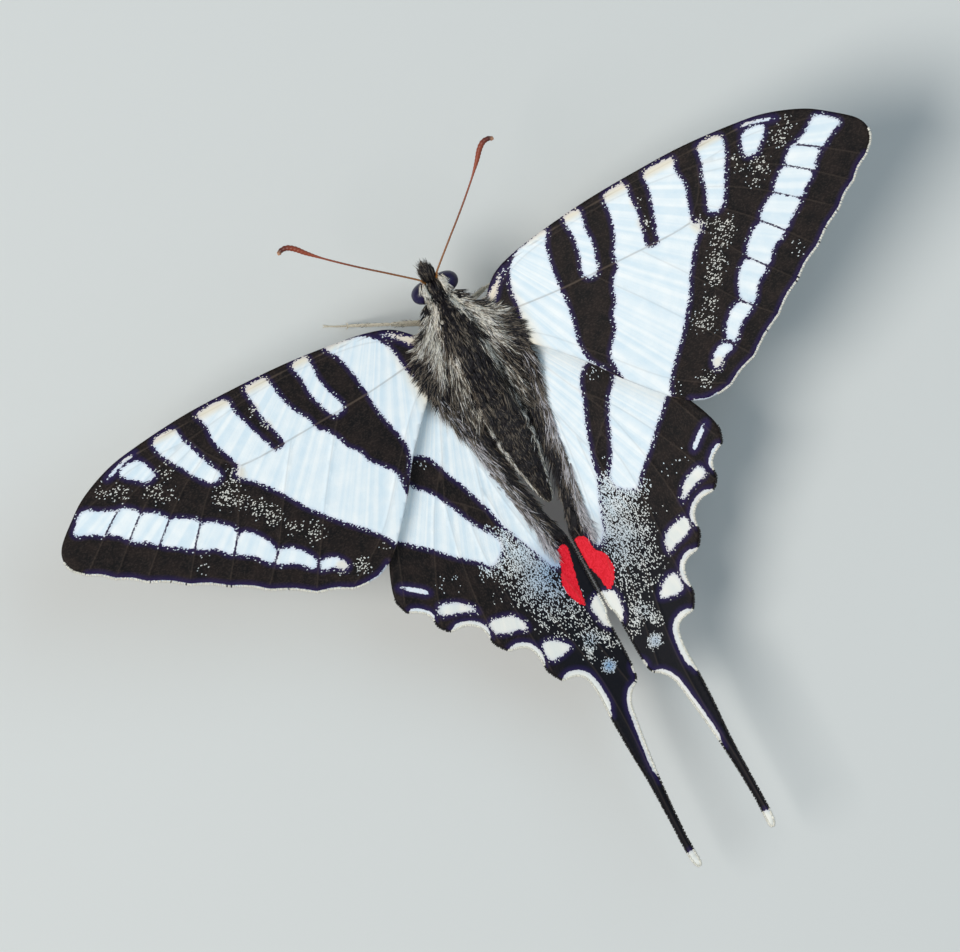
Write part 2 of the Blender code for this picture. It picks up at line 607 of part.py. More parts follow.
def head_locks():
    """The tuft between the feelers, which points ahead, and short hair on the crown."""
    draw = random.Random(SEED + 1)
    shapes = []
    for i in range(TUFT_LOCKS):
        across = 2 * i / (TUFT_LOCKS - 1) - 1
        root, bend, tip = [[x * across, y, z + lift * (i % 2)] for (x, y, z), lift in zip(TUFT_LINE, TUFT_LIFTS)]
        tip[1] += TUFT_ROUND * across * across + draw.uniform(-HEAD_STRAY / 2, HEAD_STRAY)
        shapes.append(lock_shape(root, bend, tip, TUFT_WIDTH))
    for i in range(CROWN_LOCKS):
        across = 2 * i / (CROWN_LOCKS - 1) - 1
        root, bend, tip = [[x * across, y, z] for x, y, z in CROWN_LINE]
        tip[1] += draw.uniform(-HEAD_STRAY, HEAD_STRAY)
        shapes.append(lock_shape(root, bend, tip, CROWN_WIDTH))
    return shapes


def groove(share):
    return 1.0 - RING_GROOVE * (1.0 + math.cos(2 * math.pi * ABDOMEN_RINGS * share))


def build():
    black_hair = material("dark_hair", (0.018, 0.014, 0.012), 0.8)
    scales = material("wing_scales", (0.62, 0.7, 0.66), 0.7)
    dark_scales = material("dark_scales", (0.02, 0.016, 0.02), 0.75)
    eye_black = material("eye_facets", (0.02, 0.015, 0.03), 0.2)
    horn = material("feeler_horn", (0.22, 0.05, 0.02), 0.5)
    leg_skin = material("leg_cuticle", (0.3, 0.22, 0.12), 0.6)

    for side, word in ((1, "left"), (-1, "right")):
        wing("forewing_" + word, side, fore_outline(), FORE_VEINS, fore_height, scales)
        wing("hindwing_" + word, side, hind_outline(), HIND_VEINS, hind_height, scales)
        points, faces = eye_shape(side)
        add_object("eye_" + word, points, faces, eye_black)
        points, faces = antenna_shape()
        add_object("antenna_" + word, mirrored(points, side), faces, horn)
        points, faces = tube(PALP, PALP_RADII, LIMB_SIDES)
        add_object("palp_" + word, mirrored(points, side), faces, black_hair)
    for name, (side, line) in LEGS.items():
        points, faces = leg_shape(line)
        add_object(name, mirrored(points, side), faces, leg_skin)
    points, faces = tongue_shape()
    add_object("proboscis", points, faces, horn)
    points, faces = loft(ABDOMEN, ABDOMEN_SIDES, 4, groove=groove)
    add_object("abdomen", points, faces, dark_scales)

    head = add_object("head", *loft(HEAD, HEAD_SIDES, 2), black_hair)
    use_boolean(head, [add_object("lock", *shape) for shape in head_locks()], "UNION")
    room = []
    for side in (1, -1):
        room.append(add_object("room", *eye_shape(side, GAP)))
        points, faces = antenna_shape(GAP, ANTENNA_ROOT)
        room.append(add_object("room", mirrored(points, side), faces))
        points, faces = tube(PALP, PALP_RADII, LIMB_SIDES, GAP)
        room.append(add_object("room", mirrored(points, side), faces))
    room.append(add_object("room", *tongue_shape(GAP, TONGUE_ROOT_POINTS)))
    use_boolean(head, room, "DIFFERENCE")

    thorax = add_object("thorax", *loft(THORAX, THORAX_SIDES, 2), black_hair)
    use_boolean(thorax, [add_object("lock", *shape) for shape in thorax_locks()], "UNION")
    room = [add_object("room", *loft(stations, ROOM_SIDES, 1, GAP)) for stations in (HEAD, ABDOMEN)]
    for side in (1, -1):
        room.append(add_object("room", *eye_shape(side, GAP)))
        room.append(wing_room(side, fore_height, *FORE_ROOM_Y))
        room.append(wing_room(side, hind_height, *HIND_ROOM_Y))
    for side, line in LEGS.values():
        points, faces = leg_shape(line, GAP, LEG_ROOT)
        room.append(add_object("room", mirrored(points, side), faces))
    use_boolean(thorax, room, "DIFFERENCE")


for thing in list(bpy.data.objects):
    bpy.data.objects.remove(thing)
build()
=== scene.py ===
"""Zebra swallowtail butterfly, life size: the finish of the model that part.py builds.

Lengths are written in millimetres, with y counted from the middle of the thorax towards the tails,
z from the floor and x towards the animal's own left, and are turned to metres where a mesh is made.
"""
import math

import bpy
import numpy as np
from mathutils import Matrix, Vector
from mathutils.geometry import delaunay_2d_cdt


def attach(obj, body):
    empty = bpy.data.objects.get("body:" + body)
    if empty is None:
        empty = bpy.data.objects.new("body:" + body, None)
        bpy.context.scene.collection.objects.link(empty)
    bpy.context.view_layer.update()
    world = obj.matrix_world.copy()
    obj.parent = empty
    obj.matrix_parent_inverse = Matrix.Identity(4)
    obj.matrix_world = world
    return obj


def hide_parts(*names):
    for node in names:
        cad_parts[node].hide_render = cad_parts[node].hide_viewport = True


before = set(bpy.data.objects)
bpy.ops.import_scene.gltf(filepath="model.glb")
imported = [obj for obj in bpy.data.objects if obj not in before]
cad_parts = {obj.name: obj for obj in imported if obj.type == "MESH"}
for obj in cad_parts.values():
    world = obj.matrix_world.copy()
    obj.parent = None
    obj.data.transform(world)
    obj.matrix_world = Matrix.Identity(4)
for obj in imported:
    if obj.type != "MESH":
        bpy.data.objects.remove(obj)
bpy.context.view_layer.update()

# The view: the photo looks straight down on the spread wings, with the head towards its top left.
# The sizes along and across come from it, at the scale that the span of 80 mm over the forewings sets.
MM = 0.001
CENTRE_Y = 17.93         # the middle of the model's length, which the frame has at nought
PIXEL_MM = 0.0883        # one pixel of the photo at the level of the wings
FRAME_PIXELS = (960, 952)
THORAX_PIXEL = (463.5, 340.7)
BODY_TURN = math.radians(28.4)
WING_LEVEL = 11.0
CAMERA_ABOVE = 1200.0
SENSOR = 36.0


def place(x, y, z):
    return Vector((x, y - CENTRE_Y, z)) * MM


view_right = Vector((-math.cos(BODY_TURN), math.sin(BODY_TURN)))
view_up = Vector((-math.sin(BODY_TURN), -math.cos(BODY_TURN)))
off_right = (FRAME_PIXELS[0] / 2 - THORAX_PIXEL[0]) * PIXEL_MM
off_up = (THORAX_PIXEL[1] - FRAME_PIXELS[1] / 2) * PIXEL_MM
middle = view_right * off_right + view_up * off_up
camera_data = bpy.data.cameras.new("camera")
camera_data.sensor_width = SENSOR
camera_data.lens = SENSOR * CAMERA_ABOVE / (FRAME_PIXELS[0] * PIXEL_MM)
camera_data.clip_start = 0.01
camera = bpy.data.objects.new("camera", camera_data)
camera.location = place(middle.x, middle.y, WING_LEVEL + CAMERA_ABOVE)
camera.rotation_euler = (0.0, 0.0, math.pi - BODY_TURN)
bpy.context.scene.collection.objects.link(camera)
bpy.context.scene.camera = camera


# The floor: plain pale card under the model, wide enough for every view, and no part of the butterfly.
# Uncoated card is matt, so that it shows a soft shadow and no reflection.
def srgb(code):
    """An sRGB hex value as linear red, green, blue and alpha."""
    values = [int(code[i:i + 2], 16) / 255 for i in (1, 3, 5)]
    return tuple(v / 12.92 if v <= 0.04045 else ((v + 0.055) / 1.055) ** 2.4 for v in values) + (1.0,)


def add_node(material, kind, inputs, **settings):
    """Adds a shader node with its settings. Each input is an earlier socket to link, or a value."""
    node = material.node_tree.nodes.new(kind)
    for key, value in settings.items():
        setattr(node, key, value)
    for key, value in inputs.items():
        if isinstance(value, bpy.types.NodeSocket):
            material.node_tree.links.new(value, node.inputs[key])
        else:
            node.inputs[key].default_value = value
    return node


def new_material(name, **sockets):
    """A material and its shader, which has these values on its own sockets."""
    material = bpy.data.materials.new(name)
    material.use_nodes = True
    shader = material.node_tree.nodes["Principled BSDF"]
    for key, value in sockets.items():
        shader.inputs[key.replace("_", " ")].default_value = value
    return material, shader


FLOOR_HALF = 600.0
card, _ = new_material("matt_card", Base_Color=srgb("#d6d7d3"), Roughness=0.9)
corners = [(-1, -1), (1, -1), (1, 1), (-1, 1)]
floor_mesh = bpy.data.meshes.new("floor")
floor_mesh.from_pydata([place(FLOOR_HALF * a, FLOOR_HALF * b, 0.0) for a, b in corners], [], [(0, 1, 2, 3)])
floor_mesh.materials.append(card)
floor = bpy.data.objects.new("floor", floor_mesh)
bpy.context.scene.collection.objects.link(floor)


# The light: one broad soft lamp above the animal's left, a weak bluish one above its right, and a pale sky.
# The right wings turn their faces to the first lamp, so theirs is the brighter side.
LAMP_AIM = place(0.0, 8.0, 10.0)


def soft_lamp(name, side, ahead, above, size, power, colour):
    """A round lamp that shines on the spread wings from so far to the left, ahead and above."""
    lamp = bpy.data.lights.new(name, "AREA")
    lamp.shape = "DISK"
    lamp.size = size * MM
    lamp.energy = power
    lamp.color = colour
    holder = bpy.data.objects.new(name, lamp)
    holder.location = place(side, -ahead, above)
    holder.rotation_euler = (LAMP_AIM - holder.location).to_track_quat("-Z", "Y").to_euler()
    bpy.context.scene.collection.objects.link(holder)


soft_lamp("key_lamp", side=400.0, ahead=60.0, above=640.0, size=420.0, power=4.1,
          colour=(1.0, 0.98, 0.955))
soft_lamp("fill_lamp", side=-420.0, ahead=60.0, above=620.0, size=600.0, power=1.35,
          colour=(0.62, 0.84, 1.0))
SKY_COLOUR = (0.83, 0.91, 1.0, 1.0)
SKY_STRENGTH = 0.3
world = bpy.data.worlds.new("sky")
world.use_nodes = True
world.node_tree.nodes["Background"].inputs["Color"].default_value = SKY_COLOUR
world.node_tree.nodes["Background"].inputs["Strength"].default_value = SKY_STRENGTH
bpy.context.scene.world = world
bpy.context.scene.view_settings.view_transform = "Standard"


# Forewings: a clear dry membrane on stiff veins, covered on both faces with flat pigmented scales
# set like roof tiles. Each wing is one sheet with its veins raised in it, held in the side of the thorax.
ROOT_X = 2.46
INNER_X = 1.5            # the sheets run on to here, inside the thorax
FORE_Z = 10.5
FORE_LIFT = math.radians(11.0)
ARCH = 0.0012            # how fast a wing bends down again on its way out, per mm
PITCH = 0.035            # fall of a wing towards its hind margin, per mm
CAMBER = 0.002           # hollow of the forewing from front to back, per mm
CAMBER_Y = 3.0
SHEET = 0.12             # thickness of the sheet, drawn stouter than the real 0.05 mm
VEIN_RISE = 0.07
VEIN_HALF = 0.17
MESH_STEP = 0.3          # spacing of the points of a sheet
FAR = 9.0                # stands for a distance in mm that is too far to matter

FORE_COSTA = [(INNER_X, -0.9), (ROOT_X, -1.6), (3.3, -2.2), (5.0, -3.8), (7.0, -4.6), (10.0, -5.15),
              (15.0, -5.7), (20.0, -5.9), (25.0, -5.9), (30.0, -5.45), (33.0, -4.9), (36.0, -3.7),
              (38.0, -2.3), (39.7, -0.8), (40.2, 0.4), (39.9, 1.5), (38.9, 2.5)]
FORE_VEIN_ENDS = [(38.9, 2.5), (36.9, 3.95), (34.6, 5.5), (31.4, 7.5), (28.4, 9.3), (25.5, 11.2),
                  (21.9, 13.4), (18.9, 14.65)]
FORE_WAVE = 0.16         # how deep the margin is hollowed between two veins' ends
FORE_INNER = [(18.9, 14.65), (17.5, 14.8), (16.0, 14.6), (14.0, 13.3), (10.9, 9.8), (8.6, 6.7),
              (4.6, 2.5), (ROOT_X, 1.2), (INNER_X, 0.8)]
FORE_CELL_END = (25.4, -3.8)
FORE_VEINS = [
    [(2.4, -1.0), (5.0, -2.7), (8.0, -3.95), (12.0, -4.5), (18.0, -4.65), FORE_CELL_END],
    [(2.4, -0.3), (5.0, -0.4), (10.0, 0.1), (20.0, 0.5), (22.4, 0.4)],
    [FORE_CELL_END, (24.9, -2.5), (24.0, -1.1), (22.4, 0.4)],
    [FORE_CELL_END, (31.0, -3.9), (36.6, -2.6)],
    [FORE_CELL_END, (30.0, -2.6), (34.0, -1.15), (38.5, 2.1)],
    [(25.2, -3.1), (29.0, -1.9), (32.5, 0.1), (36.5, 3.6)],
    [(24.7, -2.0), (27.5, -0.5), (30.4, 1.65), (34.2, 5.0)],
    [(23.8, -0.8), (26.0, 1.0), (28.1, 3.2), (31.1, 7.0)],
    [(22.4, 0.4), (24.0, 2.8), (25.6, 5.5), (28.1, 8.8)],
    [(17.5, 0.45), (20.2, 4.2), (23.2, 8.55), (25.2, 10.8)],
    [(12.7, 0.25), (16.2, 4.9), (20.4, 11.0), (21.7, 13.0)],
    [(2.6, 0.6), (6.2, 2.6), (10.2, 6.9), (13.9, 11.1), (17.0, 13.4), (18.6, 14.3)],
]

# The rib just inside the front margin, whose brown shows between thin scales
FORE_FRONT_RIB = [(7.0, -4.3), (12.0, -4.95), (18.0, -5.25), (25.0, -5.25), (30.0, -4.9)]

# White areas of the forewing on its black ground, as closed outlines of short straight lines
PATCH_STEP = 0.35
FORE_WHITE = {
    "base": [(3.5, -1.95), (4.2, -2.75), (5.5, -3.6), (6.2, -3.95), (5.1, -2.95), (4.1, -1.8)],
    "inner_band": [(7.6, -4.55), (6.45, -3.35), (5.9, -1.9), (5.7, -0.2), (5.25, 1.2), (4.9, 3.0),
                   (4.2, 5.0), (4.2, 9.0), (9.6, 9.0), (8.9, 6.7), (8.8, 5.0), (9.3, 3.0), (9.6, 1.0),
                   (9.7, -0.5), (10.0, -2.5), (10.4, -4.0), (11.1, -5.25), (9.6, -5.1)],
    "thin_bar": [(12.85, -5.25), (12.9, -3.3), (12.6, -1.7), (12.1, -0.3), (12.3, 0.35), (13.2, 0.35),
                 (13.7, -0.9), (14.1, -2.3), (14.1, -3.7), (14.45, -5.2), (13.7, -5.5)],
    "cell_bar_one": [(16.95, -5.35), (16.7, -3.9), (16.4, -2.5), (15.8, -1.1), (15.3, -0.3), (15.3, 1.6),
                     (18.2, 1.6), (18.15, 0.3), (18.4, -1.0), (18.8, -2.5), (18.9, -4.0), (19.0, -5.4),
                     (18.0, -5.55)],
    "cell_bar_two": [(20.9, -5.35), (20.75, -4.0), (20.3, -2.5), (19.8, -1.0), (19.4, 0.2), (19.3, 1.6),
                     (22.3, 1.6), (22.7, 0.0), (23.2, -1.4), (23.6, -2.8), (23.5, -4.3), (23.8, -5.4),
                     (22.3, -5.6)],
    "broad_band": [(15.25, 0.75), (14.2, 1.65), (13.75, 2.5), (13.5, 3.4), (12.7, 4.3), (12.4, 5.4),
                   (11.65, 6.3), (10.85, 7.3), (10.75, 8.3), (10.9, 10.0), (11.5, 14.0), (13.4, 13.4),
                   (14.1, 12.2), (14.9, 11.1), (16.0, 9.95), (17.15, 8.75), (18.25, 7.4), (19.3, 6.1),
                   (20.05, 4.8), (21.05, 3.4), (22.0, 2.2), (23.2, 1.1), (22.6, 0.5), (20.0, 0.75),
                   (17.5, 0.6)],
    "wedge": [(26.2, -5.25), (25.95, -4.0), (25.45, -2.7), (25.05, -1.3), (24.4, 0.1), (24.9, 0.6),
              (25.7, 0.35), (26.4, -0.6), (27.15, -1.9), (27.75, -2.95), (28.25, -3.95), (28.4, -5.1),
              (27.3, -5.4)],
    "apex_spot": [(30.15, -4.25), (31.1, -4.45), (32.2, -4.2), (32.0, -3.55), (31.2, -2.85), (30.5, -2.25),
                  (29.6, -2.4), (29.65, -3.15)],
    "spot_a": [(34.0, -1.2), (35.1, -1.8), (36.5, -2.65), (37.3, -2.3), (38.25, -1.2), (37.0, -0.6),
               (35.6, 0.1)],
    "spot_b": [(32.3, 0.0), (33.2, -1.15), (33.95, -1.2), (35.5, 0.05), (34.7, 0.85), (34.05, 1.5)],
    "spot_c": [(30.35, 1.55), (31.4, 0.3), (32.4, 0.1), (34.05, 1.5), (32.9, 2.4), (32.0, 3.0)],
    "spot_d": [(28.05, 3.2), (29.05, 2.15), (30.35, 1.7), (31.95, 3.1), (30.7, 4.1), (29.5, 4.85)],
    "spot_e": [(25.55, 5.4), (26.35, 4.2), (27.95, 3.3), (29.45, 4.9), (27.9, 5.8), (26.75, 6.9)],
    "spot_f": [(23.3, 8.45), (23.75, 7.0), (24.75, 5.8), (25.55, 5.7), (26.6, 6.9), (25.2, 7.95),
               (24.2, 9.2)],
    "spot_g": [(20.55, 11.05), (21.05, 9.85), (22.2, 8.8), (23.2, 8.65), (23.95, 9.4), (22.3, 10.3),
               (21.1, 11.4)],
    "spot_h": [(18.3, 12.4), (19.1, 11.4), (20.2, 11.15), (20.65, 11.8), (19.5, 12.2), (18.7, 12.85)],
}
# Narrow pale and dark strokes: (points, half width in mm)
FORE_PALE_STROKES = [
    ([(30.2, -5.05), (31.6, -4.75), (33.4, -4.15)], 0.15),
    ([(15.2, 14.1), (16.0, 14.6), (17.5, 14.8), (18.9, 14.65)], 0.12),
]
FORE_FRINGE = 0.11       # width of the pale line along the outer margin
FORE_DARK_STROKES = [
    ([(34.0, -1.2), (35.8, 0.05)], 0.09), ([(32.4, 0.05), (34.3, 1.6)], 0.09),
    ([(30.3, 1.6), (32.1, 3.2)], 0.09), ([(28.0, 3.15), (29.6, 5.0)], 0.09),
    ([(25.5, 5.5), (26.8, 7.05)], 0.09), ([(23.1, 8.5), (24.2, 9.7)], 0.09),
    ([(20.45, 11.0), (21.1, 12.0)], 0.09),
]
# Clouds of single pale scales in the black: (middle, reach, share of pale scales)
FORE_FLECKS = [
    ((24.9, 2.2), 1.2, 0.42), ((24.0, 3.0), 0.9, 0.25), ((22.9, 4.4), 1.0, 0.32), ((22.1, 5.6), 1.0, 0.36),
    ((20.9, 7.4), 0.9, 0.26), ((19.5, 8.7), 1.1, 0.3), ((33.0, -2.6), 1.0, 0.28), ((30.3, -1.2), 1.0, 0.3),
    ((28.6, -2.3), 0.9, 0.25), ((29.4, -0.3), 0.9, 0.16), ((23.3, 0.9), 0.9, 0.4), ((17.3, 13.2), 0.8, 0.4),
    ((18.8, 12.6), 0.7, 0.35), ((34.4, -3.4), 0.8, 0.2), ((19.2, -3.5), 0.6, 0.2), ((18.9, -1.6), 0.6, 0.25),
    ((14.6, 12.6), 0.6, 0.15), ((29.5, 6.6), 1.0, 0.08),
]


def curve_through(knots, step):
    """Catmull-Rom curve from the second knot up to the last but one, in stretches no longer than step."""
    curve = []
    for a, b, c, d in zip(knots, knots[1:], knots[2:], knots[3:]):
        count = max(1, math.ceil((c - b).length / step))
        for k in range(count):
            t = k / count
            curve.append(0.5 * (2 * b + (c - a) * t + (2 * a - 5 * b + 4 * c - d) * t * t
                                + (3 * b - a - 3 * c + d) * t ** 3))
    return curve


def spline(points, step):
    """Smooth line through the points, from the first to the last."""
    knots = [Vector(p) for p in points]
    return curve_through([knots[0] * 2 - knots[1]] + knots + [knots[-1] * 2 - knots[-2]], step) + [knots[-1]]


def as_rows(points):
    """Points as an array with a row for each."""
    return np.array([tuple(p) for p in points])


def closed_spline(points):
    """Smooth closed outline through the points, as an array."""
    knots = [Vector(p) for p in points]
    return as_rows(curve_through([knots[-1]] + knots + knots[:2], PATCH_STEP))


def line_distance(at, line, widths=None):
    """Distance of each point to a line, less the line's half width where one is given for its ends."""
    best = np.full(len(at), 1e9)
    for i, (a, b) in enumerate(zip(line, line[1:])):
        run = b - a
        t = np.clip(((at - a) @ run) / (run @ run), 0.0, 1.0)
        gap = np.linalg.norm(at - a - t[:, None] * run, axis=1)
        if widths is not None:
            gap = gap - (widths[i] + (widths[i + 1] - widths[i]) * t)
        best = np.minimum(best, gap)
    return best


def inside(at, outline):
    """Which points lie inside a closed outline."""
    odd = np.zeros(len(at), bool)
    for a, b in zip(outline, np.roll(outline, -1, axis=0)):
        crosses = (a[1] > at[:, 1]) != (b[1] > at[:, 1])
        if abs(b[1] - a[1]) > 1e-12:
            odd ^= crosses & (at[:, 0] < a[0] + (b[0] - a[0]) * (at[:, 1] - a[1]) / (b[1] - a[1]))
    return odd


def depth_in(at, outline):
    """Signed distance in mm: above nought inside the closed outline."""
    gap = line_distance(at, np.vstack([outline, outline[:1]]))
    return np.where(inside(at, outline), gap, -gap)


STROKE_STEP = 0.4
STROKE_END = 0.12        # share of a stroke's length over which each end thins
PALE_TAPER = 0.35        # width of a pale stroke's ends, as a share of its middle


def stroke_depth(at, points, half, taper):
    """Signed distance to a brush stroke that thins towards both of its ends."""
    line = as_rows(spline(points, STROKE_STEP))
    share = np.linspace(0.0, 1.0, len(line))
    widths = half * np.clip(np.minimum(share, 1.0 - share) / STROKE_END, taper, 1.0)
    return -line_distance(at, line, widths)


def lines_distance(at, lines):
    """Distance of each point to the nearest of several lines."""
    near = np.full(len(at), FAR)
    for line in lines:
        near = np.minimum(near, line_distance(at, np.array(line)))
    return near


def pattern_depth(at, white):
    """Signed distance in mm to the edge of the white patches: above nought inside one."""
    depth = np.full(len(at), -FAR)
    for points in white.values():
        depth = np.maximum(depth, depth_in(at, closed_spline(points)))
    return depth


def strokes_depth(at, strokes, taper):
    """The same for narrow strokes."""
    depth = np.full(len(at), -FAR)
    for points, half in strokes:
        depth = np.maximum(depth, stroke_depth(at, points, half, taper))
    return depth


def fleck_share(at, flecks):
    """Share of pale scales in the dark ground at each point."""
    share = np.zeros(len(at))
    for middle_at, reach, most in flecks:
        gap = np.linalg.norm(at - np.array(middle_at), axis=1) / reach
        share = np.maximum(share, most * np.clip(1.2 - gap, 0.0, 1.0))
    return share


def fore_height(x, y):
    """Level of the forewing's sheet at each place of it."""
    run = x - ROOT_X
    return FORE_Z + math.tan(FORE_LIFT) * run - ARCH * run * run - PITCH * y - CAMBER * (y - CAMBER_Y) ** 2


def fore_margin(step):
    """The outer margin, hollow between one vein's end and the next."""
    margin = [Vector(FORE_VEIN_ENDS[0])]
    for a, b in zip(FORE_VEIN_ENDS, FORE_VEIN_ENDS[1:]):
        a, b = Vector(a), Vector(b)
        back = Vector((a.y - b.y, b.x - a.x)).normalized() * FORE_WAVE
        margin += spline([a, (a + b) / 2 + back, b], step)[1:]
    return margin


def fore_outline(step):
    return spline(FORE_COSTA, step) + fore_margin(step)[1:] + spline(FORE_INNER, step)[1:]


def sheet_points(outline, veins, step):
    """Flat points and triangles of a wing: fine and even, with lines of points along the veins."""
    ring = as_rows(outline)
    closed = np.vstack([ring, ring[:1]])
    points = list(outline)
    edges = [(i, (i + 1) % len(outline)) for i in range(len(outline))]
    lines = [spline(vein, step * 1.6) for vein in veins]
    arrays = [as_rows(line) for line in lines]
    for line in lines:
        edges += [(len(points) + i, len(points) + i + 1) for i in range(len(line) - 1)]
        points += line
    beside = []
    for n, line in enumerate(arrays):
        run = np.gradient(line, axis=0)
        run /= np.linalg.norm(run, axis=1)[:, None]
        across = np.stack([-run[:, 1], run[:, 0]], axis=1)
        for turn in (1, -1):
            q = line + across * VEIN_HALF * turn
            clear = inside(q, ring) & (line_distance(q, closed) > VEIN_HALF * 0.8)
            for m, other in enumerate(arrays):
                if m != n:
                    clear &= line_distance(q, other) > VEIN_HALF * 1.5
            beside.append(q[clear])
    low, high = ring.min(axis=0), ring.max(axis=0)
    rows = []
    for j, y in enumerate(np.arange(low[1], high[1], step * 0.87)):
        xs = np.arange(low[0], high[0], step) + (j % 2) * step / 2
        rows.append(np.stack([xs, np.full(len(xs), y)], axis=1))
    grid = np.vstack(rows)
    keep = inside(grid, ring) & (line_distance(grid, closed) > step * 0.5)
    for line in arrays:
        keep &= line_distance(grid, line) > VEIN_HALF + step * 0.35
    points += [Vector(p) for p in np.vstack(beside + [grid[keep]])]
    flat, _, triangles, *_ = delaunay_2d_cdt(points, edges, [], 1, 0.00001)
    return as_rows(flat), [tuple(t) for t in triangles], arrays


def add_mesh(name, points, faces, material):
    """A smooth mesh object from points in mm."""
    mesh = bpy.data.meshes.new(name)
    metres = (np.asarray(points, float) - np.array([0.0, CENTRE_Y, 0.0])) * MM
    mesh.from_pydata(metres.tolist(), [], faces)
    mesh.materials.append(material)
    mesh.shade_smooth()
    obj = bpy.data.objects.new(name, mesh)
    bpy.context.scene.collection.objects.link(obj)
    return obj


def set_values(obj, name, values):
    """Stores one number for each point of the mesh, for its material."""
    attribute = obj.data.attributes.new(name, "FLOAT", "POINT")
    attribute.data.foreach_set("value", np.asarray(values, np.float32))


def wing_sheet(name, side, outline, veins, height, material, brown_lines):
    """Both faces of one wing as one closed sheet. Returns the object and its flat points.

    The brown lines are veins or stretches of margin with few scales, where the chitin shows.
    """
    flat, triangles, lines = sheet_points(outline, veins, MESH_STEP)
    near = lines_distance(flat, lines)
    rise = VEIN_RISE * np.clip(1.0 - near / VEIN_HALF, 0.0, 1.0)
    level = np.array([height(x, y) for x, y in flat])
    tops = np.stack([flat[:, 0] * side, flat[:, 1], level + SHEET / 2 + rise], axis=1)
    unders = np.stack([flat[:, 0] * side, flat[:, 1], level - SHEET / 2 - rise], axis=1)
    count = len(flat)
    faces, uses = [], set()
    for a, b, c in triangles:
        pa, pb, pc = flat[a], flat[b], flat[c]
        turn = (pb[0] - pa[0]) * (pc[1] - pa[1]) - (pb[1] - pa[1]) * (pc[0] - pa[0])
        if (turn > 0) != (side > 0):
            a, b = b, a
        faces.append((a, b, c))
        faces.append((c + count, b + count, a + count))
        uses.update(((a, b), (b, c), (c, a)))
    for a, b in uses:
        if (b, a) not in uses:
            faces.append((b, a, a + count, b + count))
    wing = add_mesh(name, np.vstack([tops, unders]), faces, material)
    set_values(wing, "underside", np.repeat([0.0, 1.0], count))
    set_values(wing, "vein_gap", np.tile(near, 2))
    set_values(wing, "brown_line", np.tile(lines_distance(flat, brown_lines), 2))
    return wing, flat


# Wing scales: chitin tiles about 0.1 mm wide, white ones clear and full of air, black ones full of melanin.
# Dull and dry, they give a chalky white, a brown-black that is violet at its edges, and borders that are
# ragged by single scales. Both carry painted shade and sheen of the membrane's folds.
SCALE_MM = 0.085         # the width of a scale
RAGGED_MM = 0.2          # how far single scales, and clumps of them, stray over an edge
LINE_RAGGED_MM = 0.08    # the same at a narrow line, which keeps a crisper edge
RED_RAGGED_MM = 0.12     # the same at the red patches
CLUMP_MM = 0.35          # spacing of the clumps in which scales stray together
LONE_SCALE = 0.55        # reach of a pale scale that lies alone in the black, in scale widths
# The folds' tone in the scales is painted shade and sheen: bluish in the white, brownish in the black.
FOLD_MM = 1.3            # spacing of the cloudy tone along the membrane
STREAK_TURN = 0.03       # spacing of the faint folds between veins, as the angle at which they fan out


